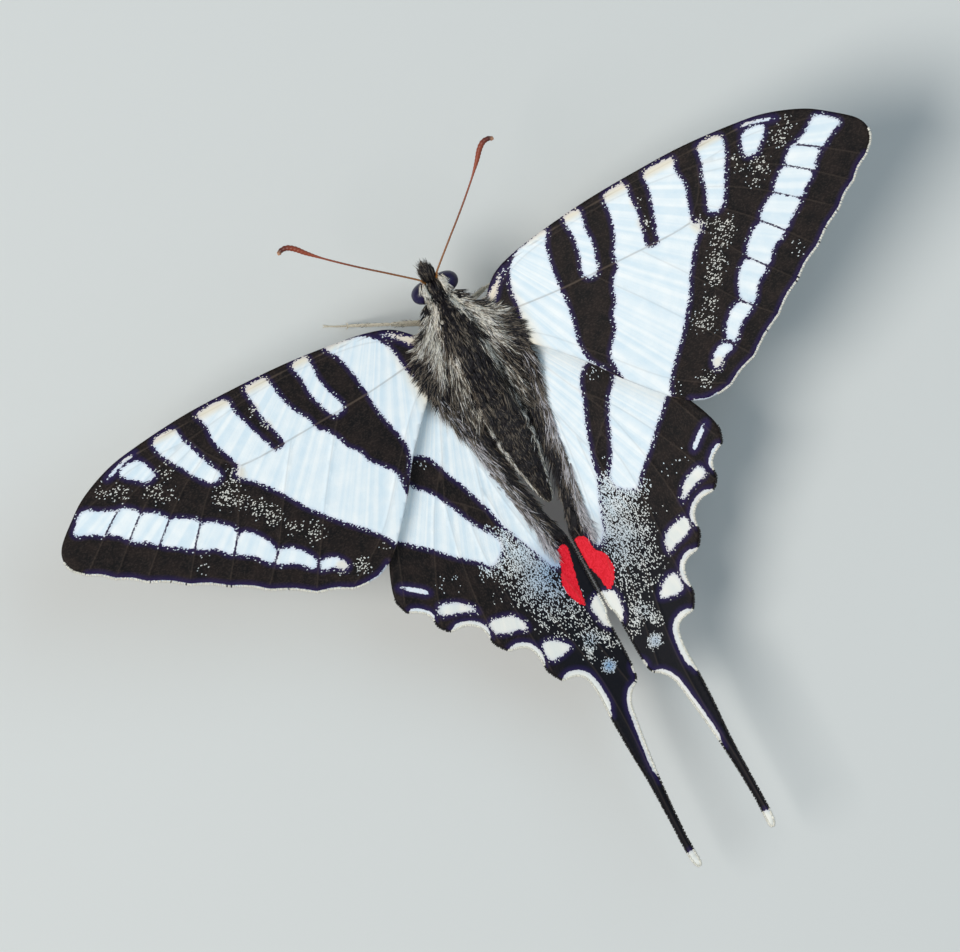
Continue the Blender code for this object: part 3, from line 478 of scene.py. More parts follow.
def wing_scales(name, stretch):
    """Scales in rows along the wing: stretch says which way they are drawn out."""
    scales, shader = new_material(name, Roughness=0.6, IOR=1.45, Specular_IOR_Level=0.16)
    at = {}
    for key in ("white_edge", "pale_line", "dark_line", "red_edge", "pepper", "cream", "blue", "ink",
                "underside", "vein_gap", "brown_line", "fan"):
        at[key] = add_node(scales, "ShaderNodeAttribute", {}, attribute_name=key).outputs["Fac"]
    where = add_node(scales, "ShaderNodeTexCoord", {}).outputs["Object"]
    rows = add_node(scales, "ShaderNodeMapping", {"Vector": where, "Scale": stretch}).outputs[0]
    tiles = add_node(scales, "ShaderNodeTexVoronoi", {"Vector": rows, "Scale": 1.0 / (SCALE_MM * MM)},
                     voronoi_dimensions="2D").outputs
    luck = add_node(scales, "ShaderNodeSeparateColor", {"Color": tiles["Color"]}).outputs
    clumps = add_node(scales, "ShaderNodeTexNoise",
                      {"Vector": rows, "Scale": 1.0 / (CLUMP_MM * MM), "Detail": 2.0},
                      noise_dimensions="2D").outputs["Fac"]
    folds = add_node(scales, "ShaderNodeTexNoise",
                     {"Vector": where, "Scale": 1.0 / (FOLD_MM * MM), "Detail": 3.0},
                     noise_dimensions="2D").outputs["Fac"]

    # A scale is pale inside the white patches, whose edge strays from scale to scale and from clump to clump
    edge = add_node(scales, "ShaderNodeMath", {0: luck["Red"], 1: RAGGED_MM, 2: at["white_edge"]},
                    operation="MULTIPLY_ADD").outputs[0]
    edge = add_node(scales, "ShaderNodeMath", {0: clumps, 1: RAGGED_MM, 2: edge},
                    operation="MULTIPLY_ADD").outputs[0]
    patch = add_node(scales, "ShaderNodeMath", {0: edge, 1: RAGGED_MM}, operation="GREATER_THAN").outputs[0]
    line = add_node(scales, "ShaderNodeMath", {0: luck["Red"], 1: LINE_RAGGED_MM, 2: at["dark_line"]},
                    operation="MULTIPLY_ADD").outputs[0]
    clear = add_node(scales, "ShaderNodeMath", {0: line, 1: LINE_RAGGED_MM / 2},
                     operation="LESS_THAN").outputs[0]
    patch = add_node(scales, "ShaderNodeMath", {0: patch, 1: clear}, operation="MULTIPLY").outputs[0]
    line = add_node(scales, "ShaderNodeMath", {0: luck["Red"], 1: LINE_RAGGED_MM, 2: at["pale_line"]},
                    operation="MULTIPLY_ADD").outputs[0]
    line = add_node(scales, "ShaderNodeMath", {0: line, 1: LINE_RAGGED_MM / 2},
                    operation="GREATER_THAN").outputs[0]
    patch = add_node(scales, "ShaderNodeMath", {0: patch, 1: line}, operation="MAXIMUM").outputs[0]
    # Single pale scales lie in the black, most of them close to an edge or in the peppered ground
    close = add_node(scales, "ShaderNodeMapRange",
                     {"Value": at["white_edge"], "From Min": -0.4, "From Max": -0.1,
                      "To Max": 0.1}).outputs[0]
    share = add_node(scales, "ShaderNodeMath", {0: at["pepper"], 1: close}, operation="MAXIMUM").outputs[0]
    chosen = add_node(scales, "ShaderNodeMath", {0: share, 1: luck["Green"]},
                      operation="GREATER_THAN").outputs[0]
    reach = add_node(scales, "ShaderNodeMath", {0: tiles["Distance"], 1: LONE_SCALE},
                     operation="LESS_THAN").outputs[0]
    lone = add_node(scales, "ShaderNodeMath", {0: chosen, 1: reach}, operation="MULTIPLY").outputs[0]
    white = add_node(scales, "ShaderNodeMath", {0: patch, 1: lone}, operation="MAXIMUM").outputs[0]

    # Pale scales: chalk white, with painted bluish shade in the folds and in the streaks that fan out between
    # the veins.
    # They are cream along the front margin, blue in spots, violet at an edge and greyer where they lie alone
    fold = add_node(scales, "ShaderNodeMapRange",
                    {"Value": folds, "From Min": 0.35, "From Max": 0.7}).outputs[0]
    streaks = add_node(scales, "ShaderNodeTexNoise",
                       {"W": at["fan"], "Scale": 1.0 / STREAK_TURN, "Detail": 2.0},
                       noise_dimensions="1D").outputs["Fac"]
    streak = add_node(scales, "ShaderNodeMapRange",
                      {"Value": streaks, "From Min": 0.35, "From Max": 0.65}).outputs[0]
    sheen = add_node(scales, "ShaderNodeMath", {0: streak, 1: 2.0, 2: fold},
                     operation="MULTIPLY_ADD").outputs[0]
    sheen = add_node(scales, "ShaderNodeMath", {0: sheen, 1: 3.0}, operation="DIVIDE").outputs[0]
    pale = add_node(scales, "ShaderNodeMix", {0: sheen, 6: srgb("#dcebf2"), 7: srgb("#f8fbf9")},
                    data_type="RGBA").outputs[2]
    border = add_node(scales, "ShaderNodeMath", {0: at["white_edge"], 1: at["pale_line"]},
                      operation="MAXIMUM").outputs[0]
    rim = add_node(scales, "ShaderNodeMapRange",
                   {"Value": border, "From Min": 0.25, "From Max": 0.0, "To Max": 0.3}).outputs[0]
    rim = add_node(scales, "ShaderNodeMath", {0: rim, 1: patch}, operation="MULTIPLY").outputs[0]
    thin = add_node(scales, "ShaderNodeMath", {0: white, 1: patch}, operation="SUBTRACT").outputs[0]
    thin = add_node(scales, "ShaderNodeMath", {0: thin, 1: 0.2}, operation="MULTIPLY").outputs[0]
    for tinted, code in ((at["cream"], "#ecdfc6"), (at["blue"], "#7fa8cf"),
                         (rim, "#a39fc4"), (thin, "#8f9aa0")):
        pale = add_node(scales, "ShaderNodeMix", {0: tinted, 6: pale, 7: srgb(code)},
                        data_type="RGBA").outputs[2]
    # Black scales: brown-black with a painted brown sheen where the membrane's folds rise, brown where they
    # are worn, blue-black on the hindwing's hind part, violet beside the white, and brown on the underside
    black = add_node(scales, "ShaderNodeMix", {0: fold, 6: srgb("#100d0d"), 7: srgb("#221a17")},
                     data_type="RGBA").outputs[2]
    worn = add_node(scales, "ShaderNodeMapRange",
                    {"Value": luck["Blue"], "From Min": 0.5, "To Max": 0.24}).outputs[0]
    rim = add_node(scales, "ShaderNodeMapRange",
                   {"Value": border, "From Min": -0.55, "From Max": -0.1, "To Max": 0.65}).outputs[0]
    for tinted, code in ((worn, "#4f423b"), (at["ink"], "#0b0d15"),
                         (rim, "#2a1d50"), (at["underside"], "#5b4a40")):
        black = add_node(scales, "ShaderNodeMix", {0: tinted, 6: black, 7: srgb(code)},
                         data_type="RGBA").outputs[2]
    colour = add_node(scales, "ShaderNodeMix", {0: white, 6: black, 7: pale}, data_type="RGBA").outputs[2]
    # Red scales, and the veins and margins whose scales are few, so that their brown chitin shows
    edge = add_node(scales, "ShaderNodeMath", {0: luck["Red"], 1: RED_RAGGED_MM, 2: at["red_edge"]},
                    operation="MULTIPLY_ADD").outputs[0]
    red = add_node(scales, "ShaderNodeMath", {0: edge, 1: RED_RAGGED_MM / 2},
                   operation="GREATER_THAN").outputs[0]
    scarlet = add_node(scales, "ShaderNodeMix", {0: luck["Blue"], 6: srgb("#d80f22"), 7: srgb("#f0283a")},
                       data_type="RGBA").outputs[2]
    colour = add_node(scales, "ShaderNodeMix", {0: red, 6: colour, 7: scarlet}, data_type="RGBA").outputs[2]
    for line, wide, narrow, most, code in (("vein_gap", 0.11, 0.02, 0.13, "#6b5c50"),
                                           ("brown_line", 0.13, 0.03, 0.3, "#7b6a5a")):
        bare = add_node(scales, "ShaderNodeMapRange",
                        {"Value": at[line], "From Min": wide, "From Max": narrow, "To Max": most}).outputs[0]
        colour = add_node(scales, "ShaderNodeMix", {0: bare, 6: colour, 7: srgb(code)},
                          data_type="RGBA").outputs[2]

    lift = add_node(scales, "ShaderNodeMath", {0: tiles["Distance"], 1: -0.3, 2: folds},
                    operation="MULTIPLY_ADD").outputs[0]
    bump = add_node(scales, "ShaderNodeBump", {"Height": lift, "Strength": 0.35, "Distance": 0.06 * MM})
    scales.node_tree.links.new(colour, shader.inputs["Base Color"])
    scales.node_tree.links.new(bump.outputs[0], shader.inputs["Normal"])
    return scales


fore_scales = wing_scales("chitin_wing_scales_fore", (0.6, 1.0, 1.0))

# What a wing has where its pattern says nothing: no patch or line, and no share of other scales
PLAIN_WING = {"white_edge": -FAR, "pale_line": -FAR, "dark_line": -FAR, "red_edge": -FAR, "pepper": 0.0,
              "cream": 0.0, "blue": 0.0, "ink": 0.0, "fan": 0.0}


def put_pattern(wing, **patterns):
    """Stores what the scales of a wing look like, the same on both faces unless a value says otherwise."""
    both = len(wing.data.vertices)
    for key, plain in PLAIN_WING.items():
        values = patterns.get(key, np.full(both, plain))
        set_values(wing, key, values if len(values) == both else np.tile(values, 2))


def fan_turn(flat, meet):
    """Angle of each place of a wing round the point where its veins would meet: its folds run along them."""
    return np.arctan2(flat[:, 0] - meet[0], flat[:, 1] - meet[1])


FORE_FAN = (0.0, -15.0)
COSTAL_Y = -4.6          # where the cream along the front margin starts
ROOT_CREAM_X = 6.5       # where the cream at the root of the wing starts
for side, word in ((1, "left"), (-1, "right")):
    wing, flat = wing_sheet("forewing_sheet_" + word, side, fore_outline(MESH_STEP), FORE_VEINS, fore_height,
                            fore_scales, (FORE_INNER, FORE_VEINS[1], FORE_FRONT_RIB))
    cream = np.clip((COSTAL_Y - flat[:, 1]) / 0.5, 0.0, 1.0) * 0.85
    cream = np.maximum(cream, np.clip((ROOT_CREAM_X - flat[:, 0]) / 1.5, 0.0, 1.0))
    pepper = fleck_share(flat, FORE_FLECKS)
    margin_line = FORE_FRINGE - line_distance(flat, as_rows(fore_margin(MESH_STEP)))
    put_pattern(wing, white_edge=pattern_depth(flat, FORE_WHITE), pepper=pepper,
                pale_line=np.maximum(strokes_depth(flat, FORE_PALE_STROKES, PALE_TAPER), margin_line),
                dark_line=strokes_depth(flat, FORE_DARK_STROKES, 1.0),
                cream=np.maximum(cream, 0.6 * np.clip(pepper * 8.0, 0.0, 1.0)), fan=fan_turn(flat, FORE_FAN))
    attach(wing, "root")
    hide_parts("forewing_" + word)


# Hindwings: the same scaled membrane, drawn out behind into a long flat tail. Pale edges line its bays,
# and a pair of scarlet patches sits where the two inner edges nearly meet.
hind_scales = wing_scales("chitin_wing_scales_hind", (1.0, 0.6, 1.0))
HIND_FAN = (0.5, -4.0)
HIND_Z = 9.2
HIND_LIFT = math.radians(10.0)
HIND_COSTA = [(INNER_X, 0.9), (ROOT_X, 0.5), (4.5, 0.9), (7.0, 2.2), (9.6, 4.4), (11.8, 7.2), (13.5, 10.3),
              (14.8, 13.4), (15.75, 15.6), (16.2, 17.3), (15.85, 18.75)]
HIND_LOBES = [(15.85, 18.75), (15.0, 19.15), (14.3, 19.75), (14.03, 20.5), (13.95, 21.2), (13.2, 22.05),
              (12.1, 22.15), (11.2, 22.55), (10.65, 23.2), (10.42, 24.0), (10.3, 24.9), (9.5, 25.95),
              (8.4, 26.25), (7.75, 26.75), (7.45, 27.5), (7.35, 28.4), (7.3, 29.3), (6.6, 30.5),
              (6.0, 30.65), (5.2, 30.85), (4.65, 31.4), (4.4, 32.3), (4.3, 33.5), (4.35, 35.5), (4.3, 38.5),
              (4.12, 42.0), (4.1, 46.0), (4.12, 49.3), (3.98, 50.5), (3.68, 50.82), (3.45, 50.4), (3.5, 48.0),
              (3.3, 44.0), (2.9, 40.0), (2.5, 37.0), (2.2, 35.3), (1.6, 34.3), (0.85, 33.75)]
HIND_INNER = [(0.85, 33.75), (0.6, 33.0), (0.5, 31.0), (0.5, 28.4), (0.4, 27.4), (0.17, 26.6), (0.17, 23.5),
              (0.17, 20.4), (0.4, 18.8), (0.95, 17.0), (1.5, 15.0), (1.9, 13.0), (2.12, 11.0), (2.24, 8.5),
              (2.3, 6.0), (ROOT_X, 3.7), (INNER_X, 3.2)]
HIND_CELL_TOP = (8.2, 11.6)
HIND_CELL_LOW = (5.5, 14.2)
HIND_VEINS = [
    [(2.4, 1.2), (5.6, 2.7), (9.2, 5.9), (12.6, 10.6), (15.6, 17.9)],
    [(2.4, 1.8), (4.6, 4.2), (6.4, 7.8), HIND_CELL_TOP],
    [(2.6, 2.6), (3.6, 6.0), (4.3, 10.0), HIND_CELL_LOW],
    [HIND_CELL_TOP, (6.9, 12.7), HIND_CELL_LOW],
    [(6.6, 8.2), (9.4, 12.0), (12.0, 17.0), (13.7, 21.3)],
    [HIND_CELL_TOP, (9.3, 16.5), (9.9, 21.0), (9.9, 25.0)],
    [(6.9, 12.7), (7.4, 18.0), (7.2, 24.0), (7.0, 29.4)],
    [HIND_CELL_LOW, (5.4, 20.0), (4.5, 26.0), (3.5, 32.0), (3.4, 38.0), (3.75, 44.0), (3.85, 49.3)],
    [(4.8, 12.2), (4.2, 19.0), (2.9, 26.0), (1.5, 33.4)],
    [(4.1, 9.2), (3.4, 15.0), (2.2, 22.0), (0.95, 29.0)],
]
HIND_WHITE = {
    "inner_band": [(9.6, 3.0), (5.3, 0.0), (4.9, 2.5), (4.55, 5.0), (4.0, 7.0), (3.75, 9.0), (3.45, 11.0),
                   (3.1, 13.0), (2.7, 15.0), (2.2, 17.0), (1.85, 19.0), (1.7, 21.0), (2.2, 21.6), (2.9, 20.6),
                   (3.5, 19.0), (4.1, 17.5), (4.7, 16.1), (4.95, 14.85), (5.35, 13.5), (5.75, 12.25),
                   (6.2, 11.0), (6.75, 9.8), (7.1, 8.65), (7.6, 7.65), (8.5, 6.9), (10.0, 6.3)],
    "outer_band": [(12.5, 5.5), (10.2, 9.2), (9.35, 10.1), (8.7, 11.0), (8.05, 12.25), (7.55, 13.45),
                   (7.0, 14.65), (6.35, 15.75), (5.8, 16.6), (5.6, 17.4), (6.3, 18.3), (7.3, 18.7),
                   (7.85, 18.1), (8.45, 17.5), (9.25, 16.85), (10.25, 15.9), (11.3, 14.8), (12.25, 13.95),
                   (13.4, 12.85), (14.4, 12.2), (16.0, 10.5)],
    "moon_two": [(10.25, 21.7), (10.65, 20.9), (11.6, 20.05), (13.1, 19.6), (13.25, 20.45), (12.0, 20.9),
                 (10.95, 21.3)],
    "moon_three": [(7.1, 25.1), (7.25, 24.1), (8.05, 23.3), (9.75, 22.95), (9.9, 23.9), (9.2, 24.45),
                   (8.0, 24.75)],
    "moon_four": [(4.5, 28.25), (5.2, 27.4), (6.1, 26.85), (6.75, 27.1), (6.65, 28.5), (5.85, 28.65),
                  (5.0, 28.5)],
    "anal_patch": [(-0.5, 25.5), (0.85, 25.55), (1.3, 26.1), (1.2, 27.1), (1.0, 28.0), (0.7, 28.4),
                   (-0.5, 28.6)],
}
HIND_PALE_STROKES = [
    ([(13.3, 18.15), (14.3, 17.3), (15.4, 16.55)], 0.2),
    ([(15.7, 18.85), (15.0, 19.15), (14.3, 19.75), (14.05, 20.4)], 0.33),
    ([(13.1, 22.1), (12.1, 22.15), (11.2, 22.55), (10.65, 23.2), (10.42, 24.1)], 0.4),
    ([(9.4, 26.0), (8.4, 26.25), (7.75, 26.75), (7.45, 27.5), (7.35, 28.5)], 0.43),
    ([(6.6, 30.6), (6.0, 30.65), (5.2, 30.85), (4.65, 31.4), (4.4, 32.3), (4.3, 33.5), (4.35, 35.3)], 0.52),
    ([(0.7, 33.6), (0.85, 33.8), (1.6, 34.3), (2.2, 35.3), (2.5, 37.0), (2.9, 40.0), (3.1, 42.5)], 0.36),
    ([(3.75, 49.5), (3.75, 50.9)], 0.6),
    ([(0.3, 32.2), (0.55, 33.2)], 0.28),
]
# Peppered ground, where white scales are strewn on the black: (middle, reach, share of pale scales)
HIND_FLECKS = [
    ((5.4, 17.4), 1.5, 0.95), ((4.6, 19.2), 2.2, 0.95), ((5.8, 19.6), 1.6, 0.7), ((3.4, 20.8), 1.7, 0.9),
    ((4.4, 21.6), 2.2, 0.85), ((5.7, 22.4), 1.4, 0.55), ((3.4, 23.4), 1.8, 0.6), ((4.8, 24.6), 1.9, 0.45),
    ((3.0, 25.4), 1.7, 0.42), ((2.7, 26.8), 1.6, 0.25), ((2.5, 28.3), 0.95, 0.8), ((1.7, 29.1), 0.75, 0.7),
    ((3.2, 29.3), 0.75, 0.8), ((1.2, 30.0), 0.4, 0.5), ((3.4, 30.1), 0.4, 0.6), ((2.3, 31.4), 0.7, 1.8),
    ((4.6, 26.6), 1.3, 0.2), ((6.4, 20.9), 1.2, 0.35),
    ((0.4, 29.8), 0.6, 0.7), ((7.4, 18.8), 1.1, 0.6), ((6.6, 18.9), 1.0, 0.8), ((12.0, 18.0), 0.9, 0.05),
    ((8.2, 21.6), 0.7, 0.05), ((10.6, 18.6), 0.7, 0.05), ((6.4, 15.7), 0.9, 0.2), ((8.6, 7.9), 0.8, 0.1),
]
RED_PATCH = {
    "left": [(0.6, 20.2), (1.2, 20.0), (1.7, 20.6), (1.95, 21.8), (2.45, 22.7), (2.6, 23.6), (2.35, 24.7),
             (1.7, 25.7), (1.45, 25.0), (1.3, 23.8), (1.0, 22.4), (0.7, 21.2)],
    "right": [(0.1, 20.3), (0.9, 20.1), (1.35, 20.7), (1.45, 21.7), (1.95, 22.3), (2.2, 23.1), (2.1, 24.2),
              (1.6, 25.0), (0.95, 25.5), (0.7, 25.0), (0.6, 24.0), (0.3, 23.0), (0.1, 22.4)],
}
# Where the pale scales are blue: (middle, reach, how blue)
BLUE_SPOTS = [((2.3, 31.4), 0.85, 1.0), ((2.7, 28.6), 1.0, 0.45), ((2.8, 22.0), 3.4, 0.75)]
RED_LINE_BELOW = [(9.8, 7.4), (8.0, 10.4), (6.9, 13.4), (5.9, 16.2), (4.4, 19.2), (2.6, 22.0)]
RED_LINE_HALF = 0.45


def hind_height(x, y):
    """Level of the hindwing's sheet at each place of it."""
    run = x - ROOT_X
    return HIND_Z + math.tan(HIND_LIFT) * run - ARCH * run * run - PITCH * y


def hind_outline(step):
    return spline(HIND_COSTA, step) + spline(HIND_LOBES, step)[1:] + spline(HIND_INNER, step)[1:]


for side, word in ((1, "left"), (-1, "right")):
    wing, flat = wing_sheet("hindwing_sheet_" + word, side, hind_outline(MESH_STEP), HIND_VEINS, hind_height,
                            hind_scales, ())
    red = depth_in(flat, closed_spline(RED_PATCH[word]))
    below = stroke_depth(flat, RED_LINE_BELOW, RED_LINE_HALF, PALE_TAPER)
    ink = np.clip((flat[:, 1] - 18.0) / 4.0, 0.0, 1.0) * np.clip((8.5 - flat[:, 0]) / 3.0, 0.0, 1.0) * 0.85
    # The right wing gets half the blue of the left: the left's extra blue is painted bluish shade of the wing
    # that faces away from the key lamp.
    blue = fleck_share(flat, BLUE_SPOTS) * (1.0 if side > 0 else 0.5)
    put_pattern(wing, white_edge=pattern_depth(flat, HIND_WHITE), pepper=fleck_share(flat, HIND_FLECKS),
                pale_line=strokes_depth(flat, HIND_PALE_STROKES, PALE_TAPER),
                cream=np.clip((flat[:, 1] - 18.5) / 2.0, 0.0, 1.0) * 0.45, blue=blue, ink=ink,
                red_edge=np.concatenate([red, np.maximum(red, below)]), fan=fan_turn(flat, HIND_FAN))
    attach(wing, "root")
    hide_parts("hindwing_" + word)


# Fringe: short flat scales that stand out all along the outer margins of the wings.
# They are cream or white where the margin is pale and black elsewhere, and give the wings a soft edge.
UV_PATCH = 0.003         # width of one tuft's place on the map that its colours are baked to
TUFT_DEPTH = 0.6         # how high the back of a tuft stands, as a share of half its width
UP = (0.0, 0.0, 1.0)


def add_tufts(name, paths, wide, ups, root_colour, tip_colour, places, profile):
    """Many closed tapered blades of chitin as one mesh, each along its own path and ending in a point.

    The profile is the share of its width that a blade has at each step, and ups is where its back faces.
    """
    count, steps = paths.shape[0], paths.shape[1] - 1
    ahead = np.gradient(paths, axis=1)
    ahead /= np.linalg.norm(ahead, axis=2)[..., None] + 1e-9
    across = np.cross(ahead, ups)
    across /= np.linalg.norm(across, axis=2)[..., None] + 1e-9
    above = np.cross(across, ahead)
    points, colours, uvs = [], [], []
    for j in range(steps):
        half = (wide * profile[j] / 2)[:, None]
        shade = root_colour + (tip_colour - root_colour) * (j / steps)
        for corner, offset in enumerate((across[:, j], above[:, j] * TUFT_DEPTH, -across[:, j])):
            points.append(paths[:, j] + offset * half)
            colours.append(shade)
            uvs.append(places + UV_PATCH * np.array([corner / 2, j / steps]))
    points.append(paths[:, -1])
    colours.append(tip_colour)
    uvs.append(places + UV_PATCH * np.array([0.5, 1.0]))
    each = len(points)
    points = np.stack(points, axis=1).reshape(-1, 3)
    colours = np.stack(colours, axis=1).reshape(-1, 3)
    uvs = np.stack(uvs, axis=1).reshape(-1, 2)
    template = [(0, 1, 2)]
    for j in range(steps - 1):
        for c in range(3):
            d = (c + 1) % 3
            template.append((j * 3 + c, j * 3 + 3 + c, j * 3 + 3 + d))
            template.append((j * 3 + c, j * 3 + 3 + d, j * 3 + d))
    last = (steps - 1) * 3
    template += [(last + c, each - 1, last + (c + 1) % 3) for c in range(3)]
    faces = (np.array(template)[None] + (np.arange(count) * each)[:, None, None]).reshape(-1, 3)
    obj = add_mesh(name, points, faces.tolist(), hair_chitin)
    tones = np.hstack([colours, np.ones((len(colours), 1))])
    colour = obj.data.attributes.new("hair_colour", "FLOAT_COLOR", "POINT")
    colour.data.foreach_set("color", tones.astype(np.float32).ravel())
    layer = obj.data.uv_layers.new(name="OFBake")
    layer.data.foreach_set("uv", uvs[faces.ravel()].astype(np.float32).ravel())
    return obj


# Chitin hair: black to clear cream, deeper at its root and cloudy along it, with a soft dry gloss
GRAIN_MM = 0.25          # spacing of the cloudy tone along a hair
hair_chitin, hair_shader = new_material("chitin_hair", Roughness=0.4, IOR=1.5, Specular_IOR_Level=0.4)
own_colour = add_node(hair_chitin, "ShaderNodeAttribute", {}, attribute_name="hair_colour")
where = add_node(hair_chitin, "ShaderNodeTexCoord", {}).outputs["Object"]
grain = add_node(hair_chitin, "ShaderNodeTexNoise",
                 {"Vector": where, "Scale": 1.0 / (GRAIN_MM * MM), "Detail": 2.0})
spread = add_node(hair_chitin, "ShaderNodeMapRange", {"Value": grain.outputs["Fac"], "From Min": 0.3,
                                                      "From Max": 0.7, "To Min": 0.8, "To Max": 1.15})
toned = add_node(hair_chitin, "ShaderNodeVectorMath", {0: own_colour.outputs["Color"], 1: spread.outputs[0]},
                 operation="MULTIPLY")
hair_chitin.node_tree.links.new(toned.outputs[0], hair_shader.inputs["Base Color"])


def wing_uv(points):
    """Place of a wing point on the flat map of its wing."""
    return np.stack([0.02 + points[:, 0] / 42.0 * 0.95, 0.02 + (points[:, 1] + 8.0) / 60.0 * 0.95], axis=1)


def run_lengths(line):
    """Length along a line up to each of its points."""
    return np.concatenate([[0.0], np.cumsum(np.linalg.norm(np.diff(line, axis=0), axis=1))])


def nearest_to(line, place_at):
    """Which point of a line lies nearest to a place."""
    return np.argmin(np.linalg.norm(line - np.array(place_at), axis=1))


FRINGE_STEP = 0.13
FRINGE_WIDE = 0.16
FRINGE_OUT = 0.13
FRINGE_IN = 0.12
FRINGE_SHAPE = ((-FRINGE_IN, 0.02), (-FRINGE_IN * 0.3, 0.08), (FRINGE_OUT * 0.4, 0.05), (FRINGE_OUT, 0.0))
FRINGE_STRAY = 0.35      # how far a scale leans along the margin
FORE_FRINGE_CREAM = 0.97
FRINGE_CREAM = np.array(srgb("#efeadb")[:3])
FRINGE_BLACK = np.array(srgb("#17110f")[:3])
FORE_FRINGE_END = (17.5, 14.8)
HIND_FRINGE_ENDS = ((16.2, 17.3), (0.4, 18.8))
FRINGED = [("forewing", fore_outline, fore_height), ("hindwing", hind_outline, hind_height)]
draw = np.random.default_rng(41)
for part, outline, height in FRINGED:
    ring = as_rows(outline(0.1))
    lengths = run_lengths(ring)
    if part == "forewing":
        start, end = np.argmax(ring[:, 0]), nearest_to(ring, FORE_FRINGE_END)
    else:
        start, end = (nearest_to(ring, place_at) for place_at in HIND_FRINGE_ENDS)
    at = np.arange(lengths[start], lengths[end], FRINGE_STEP)
    at = at + draw.uniform(-0.05, 0.05, len(at))
    edge = np.stack([np.interp(at, lengths, ring[:, k]) for k in (0, 1)], axis=1)
    ahead = np.stack([np.interp(at + 0.1, lengths, ring[:, k]) for k in (0, 1)], axis=1) - edge
    ahead /= np.linalg.norm(ahead, axis=1)[:, None]
    out = np.stack([ahead[:, 1], -ahead[:, 0]], axis=1)
    out = out + ahead * draw.uniform(-FRINGE_STRAY, FRINGE_STRAY, len(at))[:, None]
    strokes = FORE_PALE_STROKES if part == "forewing" else HIND_PALE_STROKES
    light = strokes_depth(edge - out * 0.1, strokes, PALE_TAPER) + draw.uniform(-0.06, 0.06, len(at)) > 0
    light |= (part == "forewing") & (draw.uniform(size=len(at)) < FORE_FRINGE_CREAM)
    light |= (part == "hindwing") & (pattern_depth(edge - out * 0.1, HIND_WHITE) > 0)
    tone = np.where(light[:, None], FRINGE_CREAM, FRINGE_BLACK)
    for side, word in ((1, "left"), (-1, "right")):
        stations = []
        for t, lift in FRINGE_SHAPE:
            q = edge + out * t * draw.uniform(0.85, 1.15, len(at))[:, None]
            level = np.array([height(x, y) for x, y in q]) + lift
            stations.append(np.stack([q[:, 0] * side, q[:, 1], level], axis=1))
        fringe = add_tufts(part + "_fringe_" + word, np.stack(stations, axis=1),
                           np.full(len(at), FRINGE_WIDE), UP, tone, tone, wing_uv(edge), (0.8, 1.0, 0.8))
        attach(fringe, "root")


# Body: head, neck, thorax and abdomen are one jointed case of dark chitin under scales and hair.
# The belly and a line along each side are cream, and eight shallow grooves part the abdomen's segments.
BODY = [(-6.62, 9.5, 0.34, 0.42), (-6.25, 9.65, 0.6, 0.85), (-5.4, 9.8, 0.8, 1.15), (-4.75, 9.8, 0.72, 1.1),
        (-4.32, 9.7, 0.62, 0.9), (-4.0, 9.5, 0.85, 1.05), (-3.3, 9.4, 1.45, 1.75), (-2.0, 9.3, 1.9, 2.4),
        (0.0, 9.2, 2.05, 2.72), (2.2, 9.1, 2.05, 2.62), (3.9, 9.0, 1.85, 2.2), (4.9, 9.0, 1.6, 1.85),
        (5.25, 9.0, 1.6, 1.8), (6.5, 9.0, 1.82, 1.9), (9.0, 8.9, 1.84, 1.84), (11.0, 8.75, 1.62, 1.64),
        (13.0, 8.55, 1.2, 1.3), (15.0, 8.25, 0.7, 0.8), (16.1, 8.05, 0.22, 0.3)]
BODY_FRONT = BODY[0][0]
BODY_END = BODY[-1][0]
ABDOMEN_FRONT = 5.1
SEGMENTS = 8
GROOVE = 0.035           # depth of a groove, as a share of the radius
BODY_SIDES = 72
SIDE_LINE = math.radians(27.0)     # how far above the middle of the side the cream line runs
SIDE_LINE_HALF = math.radians(7.0)
SIDE_LINE_START = 5.6
BELLY_FROM = math.radians(-22.0)   # below this the belly is pale
BELLY_FADE = math.radians(12.0)
BELLY_STRIPE = math.radians(-58.0)
BELLY_STRIPE_HALF = math.radians(7.0)
BELLY_STRIPE_START = 4.5
BODY_STEP = 0.12
body_rows = as_rows(spline(BODY, BODY_STEP))


def body_at(y):
    """Height of the axis, half width and half height of the body at each place along it."""
    return [np.interp(y, body_rows[:, 0], body_rows[:, k]) for k in (1, 2, 3)]


def groove_at(y):
    """Share of its width that the body has there, which is less in the grooves of the abdomen."""
    share = np.clip((y - ABDOMEN_FRONT) / (BODY_END - ABDOMEN_FRONT), 0.0, 1.0)
    wave = (1.0 + np.cos(2 * math.pi * SEGMENTS * share)) / 2
    return np.where(y > ABDOMEN_FRONT, 1.0 - GROOVE * wave ** 3 * 2.0, 1.0)


def body_point(side, turn, y, lift):
    """A point off the body: turn is the angle above the middle of the side, lift the height over the skin."""
    z, wide, high = body_at(y)
    swell = groove_at(y)
    return np.stack([side * (wide * swell + lift) * np.cos(turn), y + 0 * turn,
                     z + (high * swell + lift) * np.sin(turn)], axis=-1)


def pale_share(turn, y):
    """How cream the body is: a line along each side of the abdomen, and the belly but for a dark stripe."""
    line = np.clip(1.6 - np.abs(turn - SIDE_LINE) / SIDE_LINE_HALF, 0.0, 1.0) * (y > SIDE_LINE_START)
    belly = np.clip((BELLY_FROM - turn) / BELLY_FADE, 0.0, 1.0)
    stripe = np.clip(1.5 - np.abs(turn - BELLY_STRIPE) / BELLY_STRIPE_HALF, 0.0, 1.0)
    stripe = stripe * (y > BELLY_STRIPE_START)
    return np.maximum(line, belly * (1.0 - 0.85 * stripe))


